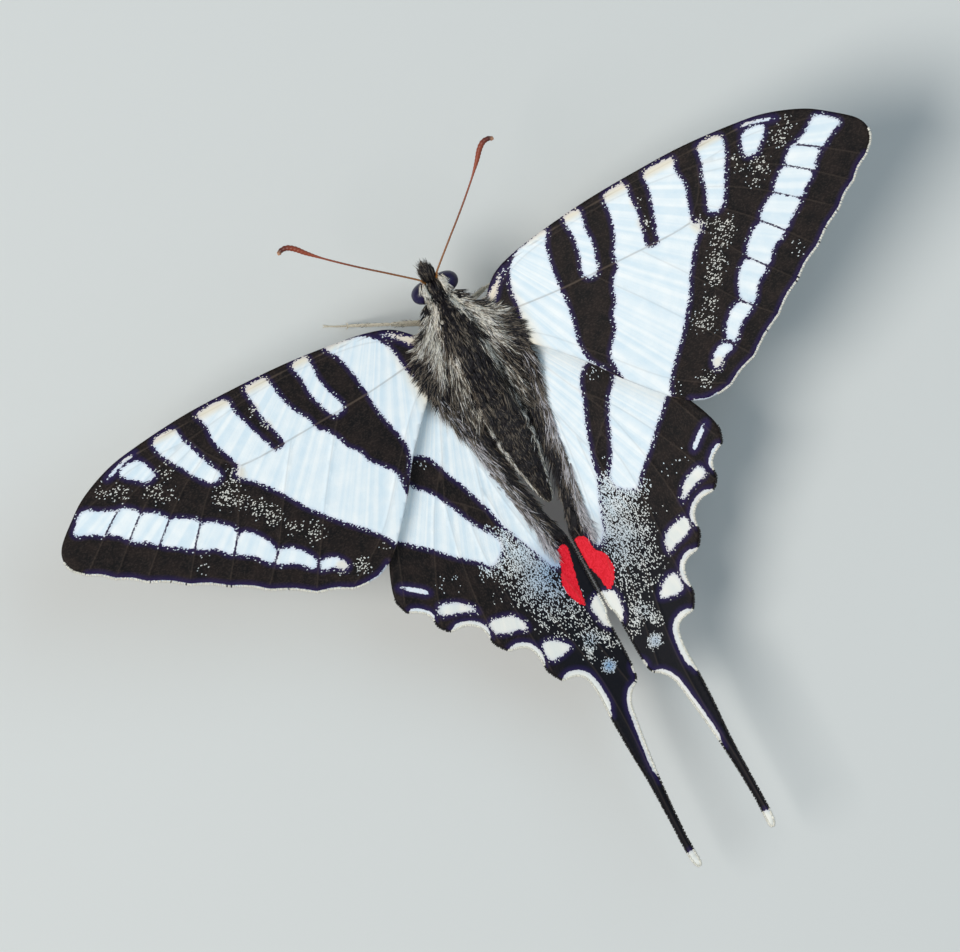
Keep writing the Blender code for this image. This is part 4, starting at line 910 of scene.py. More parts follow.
# Cuticle under close scales: dark brown chitin, cream below, dull and finely pebbled
PEBBLE_MM = 0.12         # width of a scale of the body, whose rows give the pebbled face
body_cuticle, body_shader = new_material("scaled_body_cuticle", Roughness=0.55, IOR=1.5,
                                         Specular_IOR_Level=0.35)
where = add_node(body_cuticle, "ShaderNodeTexCoord", {}).outputs["Object"]
cells = add_node(body_cuticle, "ShaderNodeTexVoronoi",
                 {"Vector": where, "Scale": 1.0 / (PEBBLE_MM * MM)}).outputs
pale = add_node(body_cuticle, "ShaderNodeAttribute", {}, attribute_name="pale").outputs["Fac"]
luck = add_node(body_cuticle, "ShaderNodeSeparateColor", {"Color": cells["Color"]}).outputs
dark = add_node(body_cuticle, "ShaderNodeMix", {0: luck["Red"], 6: srgb("#15100d"), 7: srgb("#2d2520")},
                data_type="RGBA").outputs[2]
light = add_node(body_cuticle, "ShaderNodeMix", {0: luck["Green"], 6: srgb("#b9ad94"), 7: srgb("#e6dfcb")},
                 data_type="RGBA").outputs[2]
colour = add_node(body_cuticle, "ShaderNodeMix", {0: pale, 6: dark, 7: light}, data_type="RGBA").outputs[2]
bump = add_node(body_cuticle, "ShaderNodeBump",
                {"Height": cells["Distance"], "Strength": 0.5, "Distance": 0.05 * MM})
body_cuticle.node_tree.links.new(colour, body_shader.inputs["Base Color"])
body_cuticle.node_tree.links.new(bump.outputs[0], body_shader.inputs["Normal"])


def ring_faces(rings, sides):
    """Four-cornered faces between each ring of points and the next."""
    faces = []
    for r in range(rings - 1):
        for s in range(sides):
            a, b = r * sides + s, r * sides + (s + 1) % sides
            faces.append((a, b, b + sides, a + sides))
    return faces


def ring_tube(path, radii, sides):
    """Points and faces of a round closed limb along a path."""
    path = [Vector(p) for p in path]
    points = []
    across = None
    for i, centre in enumerate(path):
        ahead = (path[min(i + 1, len(path) - 1)] - path[max(i - 1, 0)]).normalized()
        if across is None:
            across = ahead.orthogonal().normalized()
        across = (across - ahead * across.dot(ahead)).normalized()
        up = ahead.cross(across)
        for s in range(sides):
            turn = 2 * math.pi * s / sides
            points.append(centre + (across * math.cos(turn) + up * math.sin(turn)) * radii[i])
    faces = ring_faces(len(path), sides)
    points += [path[0], path[-1]]
    for s in range(sides):
        t = (s + 1) % sides
        faces.append((len(points) - 2, t, s))
        faces.append((len(points) - 1, len(points) - 2 - sides + s, len(points) - 2 - sides + t))
    return as_rows(points), faces


def join_shapes(shapes):
    """Points and faces of several closed shapes as one list."""
    points, faces, start = [], [], 0
    for shape_points, shape_faces in shapes:
        points.append(np.asarray(shape_points))
        faces += [tuple(i + start for i in face) for face in shape_faces]
        start += len(shape_points)
    return np.vstack(points), faces


turns = 2 * math.pi * (np.arange(BODY_SIDES) + 0.5) / BODY_SIDES
rings = [body_point(1, turns, np.full(BODY_SIDES, y), 0.0) for y in body_rows[:, 0]]
tips = [[0.0, BODY_FRONT - 0.1, BODY[0][1]], [0.0, BODY_END + 0.08, BODY[-1][1]]]
skin_points = np.vstack(rings + [tips])
skin_faces = [(a, d, c, b) for a, b, c, d in ring_faces(len(rings), BODY_SIDES)]
front_tip, end_tip = len(skin_points) - 2, len(skin_points) - 1
last_ring = (len(rings) - 1) * BODY_SIDES
for s in range(BODY_SIDES):
    t = (s + 1) % BODY_SIDES
    skin_faces.append((front_tip, s, t))
    skin_faces.append((end_tip, last_ring + t, last_ring + s))

PALP = [(0.34, -6.3, 8.95), (0.36, -6.7, 8.95), (0.38, -7.0, 9.15), (0.36, -7.2, 9.5)]
PALP_RADII = ([0.0, 0.4, 0.75, 1.0], [0.2, 0.21, 0.23, 0.08])   # shares of its length, and the radius there
PALP_SIDES = 14
palp_path = [tuple(p) for p in spline(PALP, BODY_STEP)]
palp_radii = np.interp(np.linspace(0, 1, len(palp_path)), *PALP_RADII)
palp_shapes = []
for side in (1, -1):
    palp_shapes.append(ring_tube([(x * side, y, z) for x, y, z in palp_path], palp_radii, PALP_SIDES))
points, faces = join_shapes([(skin_points, skin_faces)] + palp_shapes)
skin = add_mesh("body_skin", points, faces, body_cuticle)
z, wide, high = body_at(skin_points[:, 1])
skin_turn = np.arctan2((skin_points[:, 2] - z) / high, np.abs(skin_points[:, 0]) / wide)
pale = pale_share(skin_turn, skin_points[:, 1])
set_values(skin, "pale", np.concatenate([pale, np.zeros(len(points) - len(skin_points))]))
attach(skin, "root")
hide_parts("head", "thorax", "abdomen", "palp_left", "palp_right")


# Hair of the back: fine soft chitin hair that covers the thorax and streams back over wing roots and waist.
# It grows out of sockets in the cuticle and gathers in small locks. It is black in the middle, cream in
# tracts beside the head and shoulders, and grey-brown behind and beside these.
CREAM_TRACTS = [   # line, half width, how many of its hairs are cream
    ([(0.85, -6.2), (0.95, -5.2), (0.95, -4.3), (1.1, -3.4)], 0.4, 1.0),
    ([(1.2, -3.4), (1.7, -2.4), (2.1, -1.2), (2.3, -0.2)], 0.5, 0.95),
    ([(2.3, -2.0), (3.1, -1.4), (3.8, -0.9)], 0.5, 0.5),
    ([(2.35, -0.3), (2.8, 1.0)], 0.25, 0.9),
    ([(1.5, 0.2), (1.55, 1.6), (1.75, 3.0)], 0.4, 0.65),
    ([(1.9, 3.5), (2.0, 6.0)], 0.4, 0.45),
    ([(3.0, 2.0), (2.9, 5.0)], 0.4, 0.2),
]
# Colour of a hair at its root and at its tip
BLACK_HAIR = ("#0c0a0b", "#282328")
BROWN_HAIR = ("#3a322c", "#988b7a")
CREAM_HAIR = ("#e0d5bf", "#fff8ea")
# The side line's hair is whiter than the cream hair: partly the line's own white, partly painted light
# against the shade on the body's side.
LINE_HAIR = ("#f7ecd6", "#fffaf0")
SILVER_HAIR = ("#857d80", "#f0eaec")
LOCK_MM = 0.26           # spacing of the small locks that the hair gathers in
HAIR_WIDE = 0.065        # a hair, drawn some three times as wide as the real one so that it shows
LOCK_PULL = 0.55         # how far the tips of a lock draw together
ROOT_DEPTH = 0.12        # how deep the roots of hair sink into what it grows on
HAIR_STEPS = 4


def tract_share(at, tracts):
    """Share of cream hairs at each place, which falls off beside the tracts."""
    share = np.zeros(len(at))
    for line, half, most in tracts:
        gap = line_distance(at, np.array(line)) / half
        share = np.maximum(share, most * np.clip(1.4 - gap, 0.0, 1.0))
    return share


def pick_colours(kinds, choice, draw):
    """Root and tip colour of each hair, from the pair of its kind, with a little spread."""
    pairs = np.array([[srgb(a)[:3], srgb(b)[:3]] for a, b in kinds])
    tone = draw.uniform(0.7, 1.3, (len(choice), 1))
    return np.minimum(pairs[choice, 0] * tone, 0.95), np.minimum(pairs[choice, 1] * tone, 0.95)


def inner_edge_x(y):
    """How far from the middle the inner edge of the hindwing runs."""
    rows = sorted(HIND_INNER[:-1], key=lambda p: p[1])
    return np.interp(y, [p[1] for p in rows], [p[0] for p in rows])


# The eye, which the hair beside it lies on: where its flat inner side stands, its middle, and its size
EYE_FLAT_X = 0.86
EYE_BULGE = 1.38
EYE_Y = -5.35
EYE_Z = 9.95
EYE_LENGTH = 2.0
EYE_HEIGHT = 2.25


def top_level(x, y):
    """Height of what lies under the hair: body, eye or wing, whichever is highest."""
    z, wide, high = body_at(y)
    body = np.where(x < wide, z + high * np.sqrt(np.clip(1.0 - (x / wide) ** 2, 0.0, 1.0)), 0.0)
    out = np.clip((x - EYE_FLAT_X) / EYE_BULGE, 0.0, 1.0)
    along = np.clip((y - EYE_Y) / (EYE_LENGTH / 2), -1.0, 1.0)
    eye = EYE_Z + EYE_HEIGHT / 2 * np.sqrt(np.clip(1.0 - out ** 2 - along ** 2, 0.0, 1.0))
    eye = np.where((x > EYE_FLAT_X * 0.8) & (np.abs(along) < 1.0), eye, 0.0)
    behind = np.clip((y - 1.2 - (x - ROOT_X) * 0.6) / 4.0, 0.0, 1.0)
    over_wing = fore_height(x, y) * (1.0 - behind) + hind_height(x, y) * behind + SHEET / 2
    over_wing = over_wing - 0.7 * np.clip((-3.4 - y) / 1.0, 0.0, 1.0)
    return np.maximum(np.maximum(body, eye), over_wing)


def gather(roots, draw):
    """Puts each root in a small lock: the lock's number and its middle."""
    low, high = roots.min(axis=0), roots.max(axis=0)
    count = max(4, int((high - low).prod() / LOCK_MM ** 2))
    seeds = draw.uniform(low, high, (count, 2))
    near = np.array([np.argmin(((seeds - p) ** 2).sum(axis=1)) for p in roots])
    return near, seeds[near]


def lay_hair(roots, heading, lengths, lift, draw):
    """Paths of hairs that lie over what is under them, and their locks.

    A heading of nought runs straight back, and one of a quarter turn straight out.
    """
    lock, centre = gather(roots, draw)
    wander = draw.normal(0.0, 0.12, lock.max() + 1)[lock] + draw.normal(0.0, 0.07, len(lock))
    turn = heading + wander
    bend = draw.normal(0.0, 0.1, lock.max() + 1)[lock]
    reach_share = draw.uniform(0.8, 1.2, lock.max() + 1)[lock]
    paths = []
    for j in range(HAIR_STEPS + 1):
        t = j / HAIR_STEPS
        angle = turn + bend * t
        reach = (lengths * reach_share * t)[:, None]
        q = roots + np.stack([np.sin(angle), np.cos(angle)], axis=1) * reach
        q = q + (centre - roots) * LOCK_PULL * t * t
        level = top_level(np.abs(q[:, 0]), q[:, 1])
        rise = -ROOT_DEPTH + (lift + ROOT_DEPTH) * min(1.0, t / 0.5) ** 0.8
        paths.append(np.stack([q[:, 0], q[:, 1], level + rise], axis=1))
    return np.stack(paths, axis=1), lock


def body_uv(points):
    """Place of a body point on the map of the skin, unrolled along its length."""
    z, wide, high = body_at(points[:, 1])
    turn = np.arctan2((points[:, 2] - z) / high, points[:, 0] / wide) / (2 * math.pi) % 1.0
    return np.stack([0.01 + turn * 0.97, 0.01 + (points[:, 1] + 9.0) / 30.0 * 0.97], axis=1)


def fold_uv(points):
    """Place of a hair that grows beside the body on a map of both wings laid flat."""
    return np.stack([0.5 + points[:, 0] / 5.5 * 0.48, 0.02 + (points[:, 1] + 4.5) / 27.0 * 0.95], axis=1)


def lay_coat(name, roots, heading, lengths, lift_most, cream, brown, pale_hair, draw, unwrap=body_uv):
    """One coat piece: hair on both sides of the body, from roots and headings of its left side."""
    side = np.where(draw.uniform(size=len(roots)) < 0.5, -1.0, 1.0)
    paths, lock = lay_hair(roots, heading, lengths, draw.uniform(0.04, lift_most, len(roots)), draw)
    luck = 0.45 * draw.uniform(size=lock.max() + 1)[lock] + 0.55 * draw.uniform(size=len(roots))
    luck = np.clip((luck - 0.5) * 1.5 + 0.5, 0.0, 1.0)
    choice = np.where(luck < cream, 2, np.where(luck < cream + brown, 1, 0))
    root_tone, tip_tone = pick_colours((BLACK_HAIR, BROWN_HAIR, pale_hair), choice, draw)
    paths[:, :, 0] *= side[:, None]
    coat = add_tufts(name, paths, draw.uniform(0.7, 1.3, len(roots)) * HAIR_WIDE, UP, root_tone, tip_tone,
                     unwrap(paths[:, 0]), (0.7, 1.0, 0.85, 0.5))
    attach(coat, "root")


def strew(x_span, y_span, density, draw):
    """Roots strewn evenly over a box, so many to a square millimetre of each side."""
    count = int((x_span[1] - x_span[0]) * (y_span[1] - y_span[0]) * density * 2)
    return np.stack([draw.uniform(*x_span, count), draw.uniform(*y_span, count)], axis=1)


draw = np.random.default_rng(11)
# Name, span across, span along, hairs per square mm, shortest, longest, highest lift, then y and the heading
# in degrees there
BACK_HAIR = [
    ("mid_back_hair", (0.0, 1.6), (-3.5, 4.6), 200, 0.8, 1.5, 0.35,
     ([-3.5, 0.0, 5.0], [30, 10, 0])),
    ("shoulder_hair", (0.9, 2.9), (-3.7, 6.0), 210, 1.2, 2.6, 0.5,
     ([-3.7, -2.0, 0.0, 3.0, 6.0], [62, 45, 26, 12, 2])),
    ("wing_root_hair", (2.2, 4.9), (-2.4, 6.0), 170, 0.8, 1.6, 0.25,
     ([-2.4, -0.5, 2.0, 4.0, 6.0], [98, 75, 45, 22, 6])),
]
# Along y: how far out the hair grows, and how its length changes. Across x: how much of it is brown
BACK_REACH = ([-4.4, -3.6, -2.4, -1.2, 0.0, 2.0, 4.0, 6.1], [0.9, 1.5, 2.7, 4.0, 4.7, 4.6, 4.1, 3.6])
BACK_LENGTH = ([-4.4, -2.0, 1.0, 6.0], [0.6, 0.75, 1.0, 1.15])
BACK_BROWN = ([0.0, 1.0, 1.6, 5.0], [0.26, 0.25, 0.45, 0.45])
for name, x_span, y_span, density, shortest, longest, lift_most, headings in BACK_HAIR:
    roots = strew(x_span, y_span, density, draw)
    roots = roots[roots[:, 0] < np.interp(roots[:, 1], *BACK_REACH)]
    x, y = roots[:, 0], roots[:, 1]
    heading = np.radians(np.interp(y, *headings)) * np.clip(x / 1.6, 0.0, 1.0)
    lengths = draw.uniform(shortest, longest, len(roots)) * np.interp(y, *BACK_LENGTH)
    cream = tract_share(roots, CREAM_TRACTS)
    brown = np.interp(x, *BACK_BROWN)
    unwrap = fold_uv if name == "wing_root_hair" else body_uv
    lay_coat(name, roots, heading, lengths, lift_most, cream, brown, CREAM_HAIR, draw, unwrap)

# The longest hairs lie on top, over the shoulders: cream streaks, each drawn out along its own line
STREAKS = [   # line, half width, number of hairs, the map that holds their colours
    ([(1.15, -3.3), (1.65, -2.4), (2.05, -1.3), (2.3, -0.4)], 0.34, 800, body_uv),
    ([(2.2, -0.9), (2.55, 0.1), (2.85, 1.0)], 0.12, 200, body_uv),
    ([(2.2, -1.9), (2.9, -1.5), (3.5, -1.0)], 0.3, 110, fold_uv),
    ([(1.45, 0.1), (1.6, 1.3), (1.75, 2.6)], 0.22, 220, body_uv),
    ([(1.75, 2.8), (1.9, 4.4), (1.95, 5.6)], 0.2, 150, body_uv),
]
STREAK_LIFT = 0.5
STREAK_CREAM = 0.86
for number, (line, half, count, unwrap) in enumerate(STREAKS):
    ends = np.array(line)
    share = np.sort(draw.uniform(0.0, 0.8, count)) * (len(line) - 1)
    piece = np.minimum(share.astype(int), len(line) - 2)
    run = ends[piece + 1] - ends[piece]
    across = np.stack([run[:, 1], -run[:, 0]], axis=1) / np.linalg.norm(run, axis=1)[:, None]
    off = draw.normal(0.0, half / 2, count)
    roots = ends[piece] + run * (share - piece)[:, None] + across * off[:, None]
    heading = np.arctan2(run[:, 0], run[:, 1]) + off * 0.35
    lengths = draw.uniform(0.8, 1.7, count)
    lay_coat("shoulder_streak_%d" % (number + 1), roots, heading, lengths, STREAK_LIFT,
             np.full(count, STREAK_CREAM), 1.0 - STREAK_CREAM, CREAM_HAIR, draw, unwrap)

# Hair of the hindwing's inner edge: a dark mane of the same chitin hair, rooted in the fold of the wing
# beside the abdomen. It sweeps back and inward up to the abdomen, and its outer hairs are silver grey.
MANE_OUT = ([1.2, 5.0, 7.0, 9.0, 11.0, 13.0, 15.0, 17.0, 19.0, 20.0, 21.0],
            [5.0, 4.5, 4.0, 3.75, 3.5, 3.2, 2.85, 2.4, 2.15, 2.05, 1.9])
MANE_X = (0.1, 5.0)
MANE_Y = (2.5, 20.4)
MANE_TURN = ([2.5, 5.0, 8.0, 13.0, 16.0, 18.5], [-10, 2, 10, 14, 12, 0])
MANE_SILVER = ([3.0, 9.0, 15.0, 18.0], [0.2, 0.8, 1.0, 1.6])
MANES = [   # name, hairs per square mm, shortest, longest, highest lift
    ("hindwing_mane", 140, 1.3, 2.8, 0.35),
    ("hindwing_mane_short", 75, 0.7, 1.2, 0.12),
]
for name, density, shortest, longest, lift_most in MANES:
    roots = strew(MANE_X, MANE_Y, density, draw)
    out_x = np.interp(roots[:, 1], *MANE_OUT) + draw.normal(0.0, 0.12, len(roots))
    in_x = inner_edge_x(roots[:, 1])
    grows = (roots[:, 0] < out_x) & (roots[:, 0] > in_x + 0.02)
    grows &= (roots[:, 1] > 5.0) | (roots[:, 0] > 3.2)
    grows &= (roots[:, 1] < 18.6) | (roots[:, 0] > 1.65)
    roots = roots[grows]
    out_x, in_x = np.interp(roots[:, 1], *MANE_OUT), inner_edge_x(roots[:, 1])
    outer = np.clip((roots[:, 0] - in_x) / (out_x - in_x), 0.0, 1.0)
    turn = np.interp(roots[:, 1], *MANE_TURN)
    heading = -np.radians(turn + np.interp(roots[:, 1], [15.0, 18.0], [9.0, 0.0]) * outer)
    lengths = draw.uniform(shortest, longest, len(roots)) * np.interp(roots[:, 1], [15.0, 20.0], [1.0, 0.6])
    silver = 0.75 * np.clip((outer - 0.5) / 0.3, 0.0, 1.0) * np.interp(roots[:, 1], *MANE_SILVER)
    lay_coat(name, roots, heading, lengths, lift_most, silver, 0.1 + 0.35 * outer, SILVER_HAIR, draw, fold_uv)
# The innermost hairs bridge the gap to the abdomen
MANE_EDGE_TURN = ([4.6, 8.0, 12.5, 14.0, 19.0], [15, 32, 34, 20, 14])
roots = strew((0.1, 2.5), (4.6, 19.0), 260, draw)
in_x = inner_edge_x(roots[:, 1])
roots = roots[(roots[:, 0] < in_x + 0.3) & (roots[:, 0] > in_x - 0.05)]
heading = -np.radians(np.interp(roots[:, 1], *MANE_EDGE_TURN))
lengths = draw.uniform(0.6, 1.15, len(roots))
lay_coat("hindwing_mane_edge", roots, heading, lengths, lift_most=0.1, cream=np.zeros(len(roots)), brown=0.3,
         pale_hair=SILVER_HAIR, draw=draw, unwrap=fold_uv)

# Hair of the sides, breast and belly, and the close scales of the abdomen, all of chitin and rooted in it.
# The breast is clothed in long grey-cream hair, the abdomen in short scales laid back like tiles.
CLOTHED_RADIUS = 1.9
CLOTHES_LENGTH = ([-4.2, -2.0, 12.0, 16.0], [0.6, 1.0, 1.0, 0.6])
SCALE_STEPS = 3
SHORT_PROFILE = (0.8, 1.0, 0.7)
BREAST_DROOP = 0.18      # how far a hair of the breast turns down round the body
# Name, first and last y, lowest and highest turn, hairs per square mm, shortest, longest, highest lift, slot
CLOTHES = [
    ("breast_hair", (-4.2, 5.2), (-90.0, 35.0), 60, 0.9, 1.8, 0.5, "dark_hair"),
    ("abdomen_tiles", (4.9, 15.7), (-90.0, 90.0), 85, 0.5, 0.95, 0.12, "abdomen_scales"),
]
for part_name, (y_from, y_to), (low, high_turn), density, shortest, longest, lift_most, slot in CLOTHES:
    span = math.radians(high_turn - low)
    count = int((y_to - y_from) * span * CLOTHED_RADIUS * 2 * density)
    y = draw.uniform(y_from, y_to, count)
    turn = draw.uniform(math.radians(low), math.radians(high_turn), count)
    side = np.where(draw.uniform(size=count) < 0.5, -1.0, 1.0)
    z, wide, high = body_at(y)
    keep = draw.uniform(size=count) < (wide + high) / 4.4
    y, turn, side = y[keep], turn[keep], side[keep]
    lengths = draw.uniform(shortest, longest, len(y)) * np.interp(y, *CLOTHES_LENGTH)
    drift = draw.normal(0.0, 0.12, len(y)) - (BREAST_DROOP if part_name == "breast_hair" else 0.0)
    share = pale_share(turn, y)
    lift = draw.uniform(0.03, lift_most, len(y)) + 0.06 * share
    stations, ups = [], []
    for j in range(SCALE_STEPS + 1):
        t = j / SCALE_STEPS
        turned = turn + drift * t
        stations.append(body_point(side, turned, y + lengths * t * 0.96, -0.06 + (lift + 0.06) * t ** 0.7))
        ups.append(np.stack([side * np.cos(turned), np.zeros(len(y)), np.sin(turned)], axis=1))
    luck = draw.uniform(size=len(y))
    choice = np.where(luck < share * 0.95, 2, np.where(luck < share + 0.22, 1, 0))
    # Hairs on the side line take the whiter line hair, which is partly painted light.
    choice = np.where((choice == 2) & (np.abs(turn - SIDE_LINE) < SIDE_LINE_HALF * 1.5), 3, choice)
    root_tone, tip_tone = pick_colours((BLACK_HAIR, BROWN_HAIR, CREAM_HAIR, LINE_HAIR), choice, draw)
    paths = np.stack(stations, axis=1)
    coat = add_tufts(part_name, paths, draw.uniform(0.75, 1.3, len(y)) * HAIR_WIDE, np.stack(ups, axis=1),
                     root_tone, tip_tone, body_uv(paths[:, 0]), SHORT_PROFILE)
    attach(coat, "root")

# Head hair: a black tuft stands ahead between the feelers, and black hair runs back from it over the crown.
# Cream hair rims the eyes, a black ruff fills the neck, and stiff dark bristles clothe the palps.
# All of it is chitin hair that grows out of the head's own shell.
HEAD_HAIR = [   # as for the back, then the share of cream and of brown hairs
    ("crown_hair", (0.0, 0.62), (-6.2, -3.3), 300, 0.6, 1.1, 0.35,
     ([-6.2, -3.3], [10, 15]), 0.0, 0.12),
    ("eye_rim_hair", (0.36, 1.12), (-6.25, -3.3), 320, 0.5, 0.95, 0.28,
     ([-6.2, -5.0, -3.3], [26, 16, 30]), 0.97, 0.03),
    ("ruff_hair", (0.95, 2.1), (-4.35, -3.0), 330, 0.6, 1.1, 0.3,
     ([-4.35, -3.7, -3.0], [62, 52, 48]), 0.1, 0.2),
]
for name, x_span, y_span, density, shortest, longest, lift_most, headings, cream_share, brown in HEAD_HAIR:
    roots = strew(x_span, y_span, density, draw)
    if name == "ruff_hair":
        roots = roots[roots[:, 0] < np.interp(roots[:, 1], [-4.35, -3.0], [1.6, 2.1])]
    heading = np.radians(np.interp(roots[:, 1], *headings)) * np.clip(roots[:, 0] / 0.7, 0.0, 1.0)
    lengths = draw.uniform(shortest, longest, len(roots))
    cream = np.full(len(roots), cream_share)
    lay_coat(name, roots, heading, lengths, lift_most, cream, brown, CREAM_HAIR, draw)

BROW_HAIRS = 800
BROW_HALF = 0.62
BROW_SPREAD = 0.27
BROW_LENGTH = 1.85       # of the middle hairs, which are the longest
BROW_SAG = np.array([0.0, 0.0, -0.25])
SHORT_STATIONS = (0.0, 0.33, 0.67, 1.0)
x = draw.normal(0.0, BROW_SPREAD, BROW_HAIRS).clip(-BROW_HALF, BROW_HALF)
roots = np.stack([x, draw.uniform(-6.6, -5.8, BROW_HAIRS), np.zeros(BROW_HAIRS)], axis=1)
run = np.stack([x * 0.25 + draw.normal(0.0, 0.14, BROW_HAIRS), -np.ones(BROW_HAIRS),
                draw.uniform(0.0, 0.95, BROW_HAIRS)], axis=1)
run /= np.linalg.norm(run, axis=1)[:, None]
lengths = (BROW_LENGTH - 1.9 * x * x - 0.35 * np.abs(x)) * draw.uniform(0.55, 1.05, BROW_HAIRS)
z, wide, high = body_at(roots[:, 1])
roots[:, 2] = z + high * np.sqrt(np.clip(1.0 - (x / np.maximum(wide, 0.75)) ** 2, 0.1, 1.0)) - 0.1
paths = np.stack([roots + run * (lengths * t)[:, None] + BROW_SAG * t * t for t in SHORT_STATIONS], axis=1)
choice = (draw.uniform(size=BROW_HAIRS) > 0.75).astype(int)
root_tone, tip_tone = pick_colours((BLACK_HAIR, BROWN_HAIR), choice, draw)
brow = add_tufts("brow_tuft", paths, draw.uniform(0.7, 1.2, BROW_HAIRS) * HAIR_WIDE, UP, root_tone, tip_tone,
                 body_uv(paths[:, 0]), SHORT_PROFILE)
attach(brow, "root")

PALP_HAIRS = 520
PALP_HAIR_DEPTH = 0.15   # how far from the middle of the palp the bristles start
palp_line = np.array(palp_path)
step = draw.integers(3, len(palp_line) - 1, PALP_HAIRS)
around = draw.uniform(0.0, 2 * math.pi, PALP_HAIRS)
away = np.stack([np.cos(around), -0.25 + 0 * around, np.sin(around)], axis=1)
roots = palp_line[step] + away * PALP_HAIR_DEPTH
run = away * 0.55 + np.array([0.0, -0.9, 0.25])
run /= np.linalg.norm(run, axis=1)[:, None]
lengths = draw.uniform(0.2, 0.42, PALP_HAIRS)
paths = np.stack([roots + run * (lengths * t)[:, None] for t in SHORT_STATIONS], axis=1)
paths[:, :, 0] *= np.where(draw.uniform(size=PALP_HAIRS) < 0.5, -1.0, 1.0)[:, None]
choice = np.where(draw.uniform(size=PALP_HAIRS) < 0.25, 2, 0)
root_tone, tip_tone = pick_colours((BLACK_HAIR, BROWN_HAIR, CREAM_HAIR), choice, draw)
palp_coat = add_tufts("palp_bristles", paths, draw.uniform(0.6, 1.0, PALP_HAIRS) * HAIR_WIDE, (0.0, 0.3, 1.0),
                      root_tone, tip_tone, body_uv(paths[:, 0]), SHORT_PROFILE)
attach(palp_coat, "root")

# Eyes: two compound domes, each a shell of thousands of hexagonal lenses of clear chitin over dark pigment.
# The pigment makes them almost black with a violet tint, partly their own and partly a painted sky
# reflection, and the lenses give a soft gloss with a fine grain.
# Each dome is set in the side of the head.
FACET_MM = 0.07          # a lens, drawn twice as wide as the real 0.03 mm so that it shows
EYE_CLOUD_MM = 0.9       # spacing of the violet tint
EYE_RINGS = 28
EYE_SIDES = 56
EYE_FULLNESS = 0.9       # below 1 the dome is fuller than a ball
eye_lens, eye_shader = new_material("compound_eye_lenses", Roughness=0.32, IOR=1.5, Specular_IOR_Level=0.35,
                                    Coat_Weight=0.12, Coat_Roughness=0.2)
where = add_node(eye_lens, "ShaderNodeTexCoord", {}).outputs["Object"]
lenses = add_node(eye_lens, "ShaderNodeTexVoronoi",
                  {"Vector": where, "Scale": 1.0 / (FACET_MM * MM), "Randomness": 0.35}).outputs
# The violet clouds are partly the eyes' own tint and partly a painted reflection of the sky.
tint = add_node(eye_lens, "ShaderNodeTexNoise",
                {"Vector": where, "Scale": 1.0 / (EYE_CLOUD_MM * MM), "Detail": 2.0}).outputs
tinted = add_node(eye_lens, "ShaderNodeMix", {0: tint["Fac"], 6: srgb("#0a070c"), 7: srgb("#20144c")},
                  data_type="RGBA").outputs[2]
bump = add_node(eye_lens, "ShaderNodeBump",
                {"Height": lenses["Distance"], "Strength": 0.6, "Distance": -0.02 * MM})
eye_lens.node_tree.links.new(tinted, eye_shader.inputs["Base Color"])
eye_lens.node_tree.links.new(bump.outputs[0], eye_shader.inputs["Normal"])
for side, word in ((1, "left"), (-1, "right")):
    points = []
    for r in range(EYE_RINGS):
        lift = math.pi / 2 * r / EYE_RINGS
        reach = math.cos(lift) ** EYE_FULLNESS
        for s in range(EYE_SIDES):
            turn = 2 * math.pi * s / EYE_SIDES
            points.append(((EYE_FLAT_X + EYE_BULGE * math.sin(lift)) * side,
                           EYE_Y + EYE_LENGTH / 2 * reach * math.cos(turn),
                           EYE_Z + EYE_HEIGHT / 2 * reach * math.sin(turn)))
    points.append(((EYE_FLAT_X + EYE_BULGE) * side, EYE_Y, EYE_Z))
    points.append((EYE_FLAT_X * side, EYE_Y, EYE_Z))
    faces = ring_faces(EYE_RINGS, EYE_SIDES)
    last_ring = (EYE_RINGS - 1) * EYE_SIDES
    for s in range(EYE_SIDES):
        t = (s + 1) % EYE_SIDES
        faces.append((last_ring + s, last_ring + t, len(points) - 2))
        faces.append((t, s, len(points) - 1))
    if side < 0:
        faces = [tuple(reversed(f)) for f in faces]
    eye = add_mesh("eye_dome_" + word, points, faces, eye_lens)
    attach(eye, "root")
    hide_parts("eye_" + word)

# Feelers: stiff rods of ringed red-brown chitin that end in a hooked club, dark before its pale tip.
# Each grows from a socket on the brow. The chitin is nearly bare and smooth, so that it shines softly.
FEELER = [(0.62, -6.1, 10.45), (0.78, -6.35, 10.95), (0.95, -6.6, 11.15), (3.0, -8.35, 12.1),
          (5.2, -10.2, 12.85), (7.2, -12.0, 13.45), (8.5, -13.3, 13.7), (9.2, -14.1, 13.8),
          (9.8, -14.55, 13.85), (10.4, -14.6, 13.85), (10.8, -14.35, 13.8)]
FEELER_RADIUS = 0.085
FEELER_STEP = 0.055
FEELER_SIDES = 16
CLUB_RADIUS = 0.25
CLUB_LENGTH = 4.6
CLUB_ROUND = 0.74        # share of a half wave that the club's swelling runs through
CLUB_POWER = 1.7         # how much of the swelling lies near the end
FEELER_JOINT = 0.33      # length of one of its rings
JOINT_SWELL = 0.07
BASE_SWELL = 0.08
BASE_LENGTH = 0.25
TIP_SHARES = (0.8, 0.55, 0.25)
feeler_chitin, feeler_shader = new_material("feeler_chitin", Roughness=0.42, IOR=1.5)
along = add_node(feeler_chitin, "ShaderNodeAttribute", {}, attribute_name="along").outputs["Fac"]
ramp = add_node(feeler_chitin, "ShaderNodeValToRGB", {"Fac": along})
stops = ramp.color_ramp.elements
stops[0].position, stops[0].color = 0.0, srgb("#94622e")
stops[1].position, stops[1].color = 1.0, srgb("#d9a27a")
for position, code in ((0.45, "#7e4424"), (0.75, "#974526"), (0.9, "#8a3a20"), (0.97, "#4a1c14")):
    stop = stops.new(position)
    stop.color = srgb(code)
feeler_chitin.node_tree.links.new(ramp.outputs["Color"], feeler_shader.inputs["Base Color"])
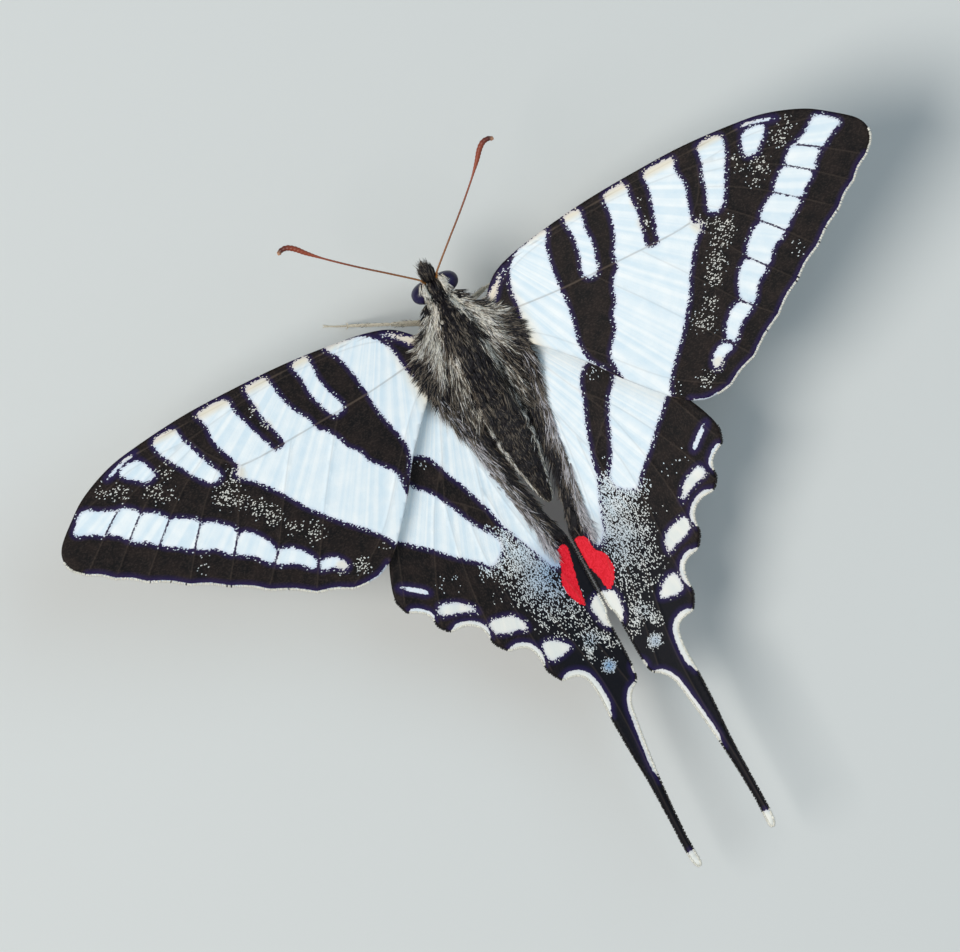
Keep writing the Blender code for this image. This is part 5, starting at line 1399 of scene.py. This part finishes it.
for side, word in ((1, "left"), (-1, "right")):
    path = [tuple(p) for p in spline([(x * side, y, z) for x, y, z in FEELER], FEELER_STEP)]
    length = run_lengths(np.array(path))
    share = np.clip(1.0 - (length[-1] - length) / CLUB_LENGTH, 0.0, 1.0)
    radii = FEELER_RADIUS + (CLUB_RADIUS - FEELER_RADIUS) * np.sin(math.pi * share * CLUB_ROUND) ** CLUB_POWER
    radii = radii * (1.0 + JOINT_SWELL * np.cos(2 * math.pi * length / FEELER_JOINT))
    radii = radii + BASE_SWELL * np.clip(1.0 - length / BASE_LENGTH, 0.0, 1.0)
    radii[-len(TIP_SHARES):] *= TIP_SHARES
    points, faces = ring_tube(path, radii, FEELER_SIDES)
    feeler = add_mesh("feeler_" + word, points, faces, feeler_chitin)
    set_values(feeler, "along", np.concatenate([np.repeat(length / length[-1], FEELER_SIDES), [0.0, 1.0]]))
    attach(feeler, "root")
    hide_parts("antenna_" + word)

# Legs: six limbs of thin chitin under cream scales that give them a dull fine grain, brown along the top.
# Each has a thigh, a shin with a pair of spurs, a foot of five joints and a pair of claws, each part hinged
# to the one before by thinner chitin, and stiff bristles.
LEGS = {   # side, then hip, root of the thigh, knee, low on the shin, ankle, middle and end of the foot
    "leg_fore_left": (1, [(1.1, -2.4, 7.0), (1.5, -2.7, 5.9), (5.0, -4.4, 6.5), (7.9, -5.9, 1.8),
                          (8.5, -6.2, 0.6), (9.2, -6.55, 0.11), (10.2, -7.1, 0.09)]),
    "leg_fore_right": (-1, [(1.1, -2.4, 7.0), (1.5, -2.7, 5.9), (4.0, -3.3, 6.3), (5.6, -3.3, 1.8),
                            (6.0, -3.4, 0.6), (6.6, -3.55, 0.11), (7.7, -3.8, 0.09)]),
    "leg_mid_left": (1, [(1.25, 0.2, 7.0), (1.7, 0.3, 5.6), (5.0, 1.2, 6.6), (8.3, 2.3, 1.8),
                         (9.0, 2.5, 0.6), (9.8, 2.75, 0.11), (11.1, 3.2, 0.09)]),
    "leg_mid_right": (-1, [(1.25, 0.2, 7.0), (1.7, 0.3, 5.6), (5.0, 1.0, 6.6), (8.1, 1.7, 1.8),
                           (8.8, 1.8, 0.6), (9.6, 1.95, 0.11), (10.9, 2.3, 0.09)]),
    "leg_hind_left": (1, [(1.1, 2.6, 7.0), (1.5, 3.0, 5.8), (4.4, 6.0, 6.6), (7.2, 10.6, 1.8),
                          (7.6, 11.3, 0.6), (8.1, 12.1, 0.11), (8.9, 13.5, 0.09)]),
    "leg_hind_right": (-1, [(1.1, 2.6, 7.0), (1.5, 3.0, 5.8), (4.6, 6.1, 6.6), (7.5, 10.4, 1.8),
                            (8.0, 11.1, 0.6), (8.6, 11.9, 0.11), (9.6, 13.2, 0.09)]),
}
LEG_SCALE_MM = 0.05      # width of a scale of the leg
leg_chitin, leg_shader = new_material("scaled_leg_chitin", Roughness=0.55, IOR=1.5, Specular_IOR_Level=0.35)
where = add_node(leg_chitin, "ShaderNodeTexCoord", {}).outputs["Object"]
leg_tiles = add_node(leg_chitin, "ShaderNodeTexVoronoi",
                     {"Vector": where, "Scale": 1.0 / (LEG_SCALE_MM * MM)}).outputs
luck = add_node(leg_chitin, "ShaderNodeSeparateColor", {"Color": leg_tiles["Color"]}).outputs
tone = add_node(leg_chitin, "ShaderNodeMix", {0: luck["Red"], 6: srgb("#c9bca2"), 7: srgb("#ece3ce")},
                data_type="RGBA").outputs[2]
top = add_node(leg_chitin, "ShaderNodeAttribute", {}, attribute_name="top").outputs["Fac"]
strayed = add_node(leg_chitin, "ShaderNodeMath", {0: luck["Green"], 1: 0.3, 2: top},
                   operation="MULTIPLY_ADD").outputs[0]
brown = add_node(leg_chitin, "ShaderNodeMapRange",
                 {"Value": strayed, "From Min": 0.95, "From Max": 1.2, "To Max": 0.8}).outputs[0]
tone = add_node(leg_chitin, "ShaderNodeMix", {0: brown, 6: tone, 7: srgb("#4b3a2b")},
                data_type="RGBA").outputs[2]
bump = add_node(leg_chitin, "ShaderNodeBump",
                {"Height": leg_tiles["Distance"], "Strength": 0.4, "Distance": 0.03 * MM})
leg_chitin.node_tree.links.new(tone, leg_shader.inputs["Base Color"])
leg_chitin.node_tree.links.new(bump.outputs[0], leg_shader.inputs["Normal"])
LIMB_SIDES = 16
HIP_RADII = (0.42, 0.36, 0.27, 0.14)
THIGH_SHARES = (0.0, 0.03, 0.1, 0.3, 0.6, 0.9, 0.97, 1.0)
THIGH_RADII = (0.1, 0.19, 0.24, 0.27, 0.25, 0.2, 0.17, 0.08)
SHIN_SHARES = (0.0, 0.03, 0.08, 0.3, 0.7, 1.0)
SHIN_RADII = (0.07, 0.13, 0.16, 0.15, 0.14, 0.15, 0.11)
SPUR_RADII = (0.07, 0.05, 0.012)
CLAW_RADII = (0.045, 0.035, 0.01)
CLAW_SIDES = 8
FOOT_JOINTS = 5
FOOT_SIDES = 12
FOOT_RADIUS = 0.068      # of a joint where it starts, and how much it widens to its end
FOOT_FLARE = 0.03
BRISTLES_MM = 16         # bristles to one mm of a leg
THIGH_BRISTLES = (0.24, 0.5)       # radius of the limb they stand on, and the longest
SHIN_BRISTLES = (0.14, 0.3)
SKYWARD = Vector((0.0, 0.0, 1.0))
bristle_paths, bristle_places = [], []
draw = np.random.default_rng(23)
for number, (name, (side, line)) in enumerate(LEGS.items()):
    at = [Vector((x * side, y, z)) for x, y, z in line]
    hip = [at[0], at[0].lerp(at[1], 0.6), at[1].lerp(at[0], 0.08), at[1]]
    thigh = [at[1].lerp(at[2], t) for t in THIGH_SHARES]
    shin = [at[2].lerp(at[3], t) for t in SHIN_SHARES] + [at[4]]
    shapes = []
    for limb, radii in ((hip, HIP_RADII), (thigh, THIGH_RADII), (shin, SHIN_RADII)):
        shapes.append(ring_tube(limb, radii, LIMB_SIDES))
    for half, (radius, most) in enumerate((THIGH_BRISTLES, SHIN_BRISTLES)):
        a, b = at[half + 1], at[half + 2]
        count = int((b - a).length * BRISTLES_MM)
        axis = (b - a).normalized()
        across = axis.orthogonal().normalized()
        turn = draw.uniform(0.0, 2 * math.pi, count)
        away = np.cos(turn)[:, None] * np.array(across) + np.sin(turn)[:, None] * np.array(axis.cross(across))
        share = draw.uniform(0.04, 0.94, count)
        roots = np.array(a) + np.array(b - a) * share[:, None] + away * radius * 0.85
        run = away * 0.55 + np.array(axis)
        run = run / np.linalg.norm(run, axis=1)[:, None] * draw.uniform(most / 2, most, count)[:, None]
        stations = [roots + run * t + away * 0.06 * t * (1 - t) for t in SHORT_STATIONS]
        bristle_paths.append(np.stack(stations, axis=1))
        bristle_places.append(np.stack([(number + turn / 6.4) / 6.05, 0.5 * half + share * 0.49], axis=1))
    spur_root = at[3].lerp(at[4], 0.7)
    ahead = (at[4] - at[3]).normalized()
    for turn in (1, -1):
        away = ahead.cross(SKYWARD).normalized() * 0.3 * turn
        spur = [spur_root, spur_root + ahead * 0.3 + away * 0.7, spur_root + ahead * 0.62 + away]
        shapes.append(ring_tube(spur, SPUR_RADII, CLAW_SIDES))
    foot = [Vector(p) for p in spline([at[3].lerp(at[4], 0.9), at[4], at[5], at[6]], 0.04)]
    size = len(foot) - 1
    for k in range(FOOT_JOINTS):
        a, b = int(size * (k / FOOT_JOINTS)), int(size * ((k + 1) / FOOT_JOINTS))
        piece = foot[a:b + 1]
        radii = [FOOT_RADIUS + FOOT_FLARE * i / (len(piece) - 1) for i in range(len(piece))]
        radii = [min(radius, p.z) for radius, p in zip(radii, piece)]
        shapes.append(ring_tube(piece, radii, FOOT_SIDES))
    end, run = foot[-1], (foot[-1] - foot[-2]).normalized()
    for turn in (1, -1):
        out = Vector((-run.y, run.x, 0.0)) * 0.12 * turn
        bend = end + run * 0.1 + out * 0.7 + SKYWARD * 0.05
        tip = end + run * 0.24 + out - SKYWARD * 0.07
        shapes.append(ring_tube([end - run * 0.06, bend, tip], CLAW_RADII, CLAW_SIDES))
    points, faces = join_shapes(shapes)
    points[:, 2] = np.maximum(points[:, 2], 0.0)
    leg = add_mesh("scaled_" + name, points, faces, leg_chitin)
    normals = np.zeros(len(points) * 3, np.float32)
    leg.data.vertices.foreach_get("normal", normals)
    set_values(leg, "top", np.clip(normals.reshape(-1, 3) @ np.array([0.5 * side, 0.0, 0.87]), 0.0, 1.0))
    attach(leg, "root")
    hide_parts(name)
paths = np.vstack(bristle_paths)
choice = (draw.uniform(size=len(paths)) > 0.6).astype(int)
root_tone, tip_tone = pick_colours((CREAM_HAIR, BROWN_HAIR), choice, draw)
bristles = add_tufts("leg_bristles", paths, draw.uniform(0.4, 0.7, len(paths)) * HAIR_WIDE, (0.3, 0.2, 1.0),
                     root_tone, tip_tone, 0.005 + np.vstack(bristle_places) * 0.985, SHORT_PROFILE)
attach(bristles, "root")

# Tongue: two half pipes of flexible chitin zipped into one tube, coiled like a watch spring under the head.
# Fine rings round it let it roll up. The chitin is bare, dark brown and smooth, with a soft shine.
TONGUE_COIL = (-6.9, 7.15)
TONGUE_RADII = (1.17, 0.36)        # of the coil where it starts and where it ends
TONGUE_TURNS = 1.9
TONGUE_RADIUS = 0.13
TONGUE_THINNING = 0.55
TONGUE_SIDES = 14
TONGUE_RING = 0.12       # spacing of the rings, drawn some four times as wide as the real ones to show
TONGUE_SWELL = 0.06
TONGUE_START = math.radians(95.0)
TONGUE_STEPS = 220
TONGUE_CLOUD_MM = 0.3    # spacing of the lighter and darker brown
tongue_path = [(0.0, -6.1, 8.74), (0.0, -6.3, 8.58), (0.0, -6.52, 8.45), (0.0, -6.76, 8.37)]
for i in range(TONGUE_STEPS + 1):
    share = i / TONGUE_STEPS
    turn = TONGUE_START + share * TONGUE_TURNS * 2 * math.pi
    radius = TONGUE_RADII[0] + (TONGUE_RADII[1] - TONGUE_RADII[0]) * share
    tongue_path.append((0.0, TONGUE_COIL[0] + radius * math.cos(turn),
                        TONGUE_COIL[1] + radius * math.sin(turn)))
tongue_length = run_lengths(np.array(tongue_path))
tongue_radii = TONGUE_RADIUS * (1.0 - TONGUE_THINNING * tongue_length / tongue_length[-1])
tongue_radii = tongue_radii * (1.0 + TONGUE_SWELL * np.cos(2 * math.pi * tongue_length / TONGUE_RING))
tongue_chitin, tongue_shader = new_material("tongue_chitin", Roughness=0.35, IOR=1.5)
where = add_node(tongue_chitin, "ShaderNodeTexCoord", {}).outputs["Object"]
clouds = add_node(tongue_chitin, "ShaderNodeTexNoise",
                  {"Vector": where, "Scale": 1.0 / (TONGUE_CLOUD_MM * MM)}).outputs
tone = add_node(tongue_chitin, "ShaderNodeMix", {0: clouds["Fac"], 6: srgb("#1f1310"), 7: srgb("#5a3826")},
                data_type="RGBA").outputs[2]
tongue_chitin.node_tree.links.new(tone, tongue_shader.inputs["Base Color"])
points, faces = ring_tube(tongue_path, tongue_radii, TONGUE_SIDES)
tongue = add_mesh("coiled_tongue", points, faces, tongue_chitin)
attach(tongue, "root")
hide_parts("proboscis")
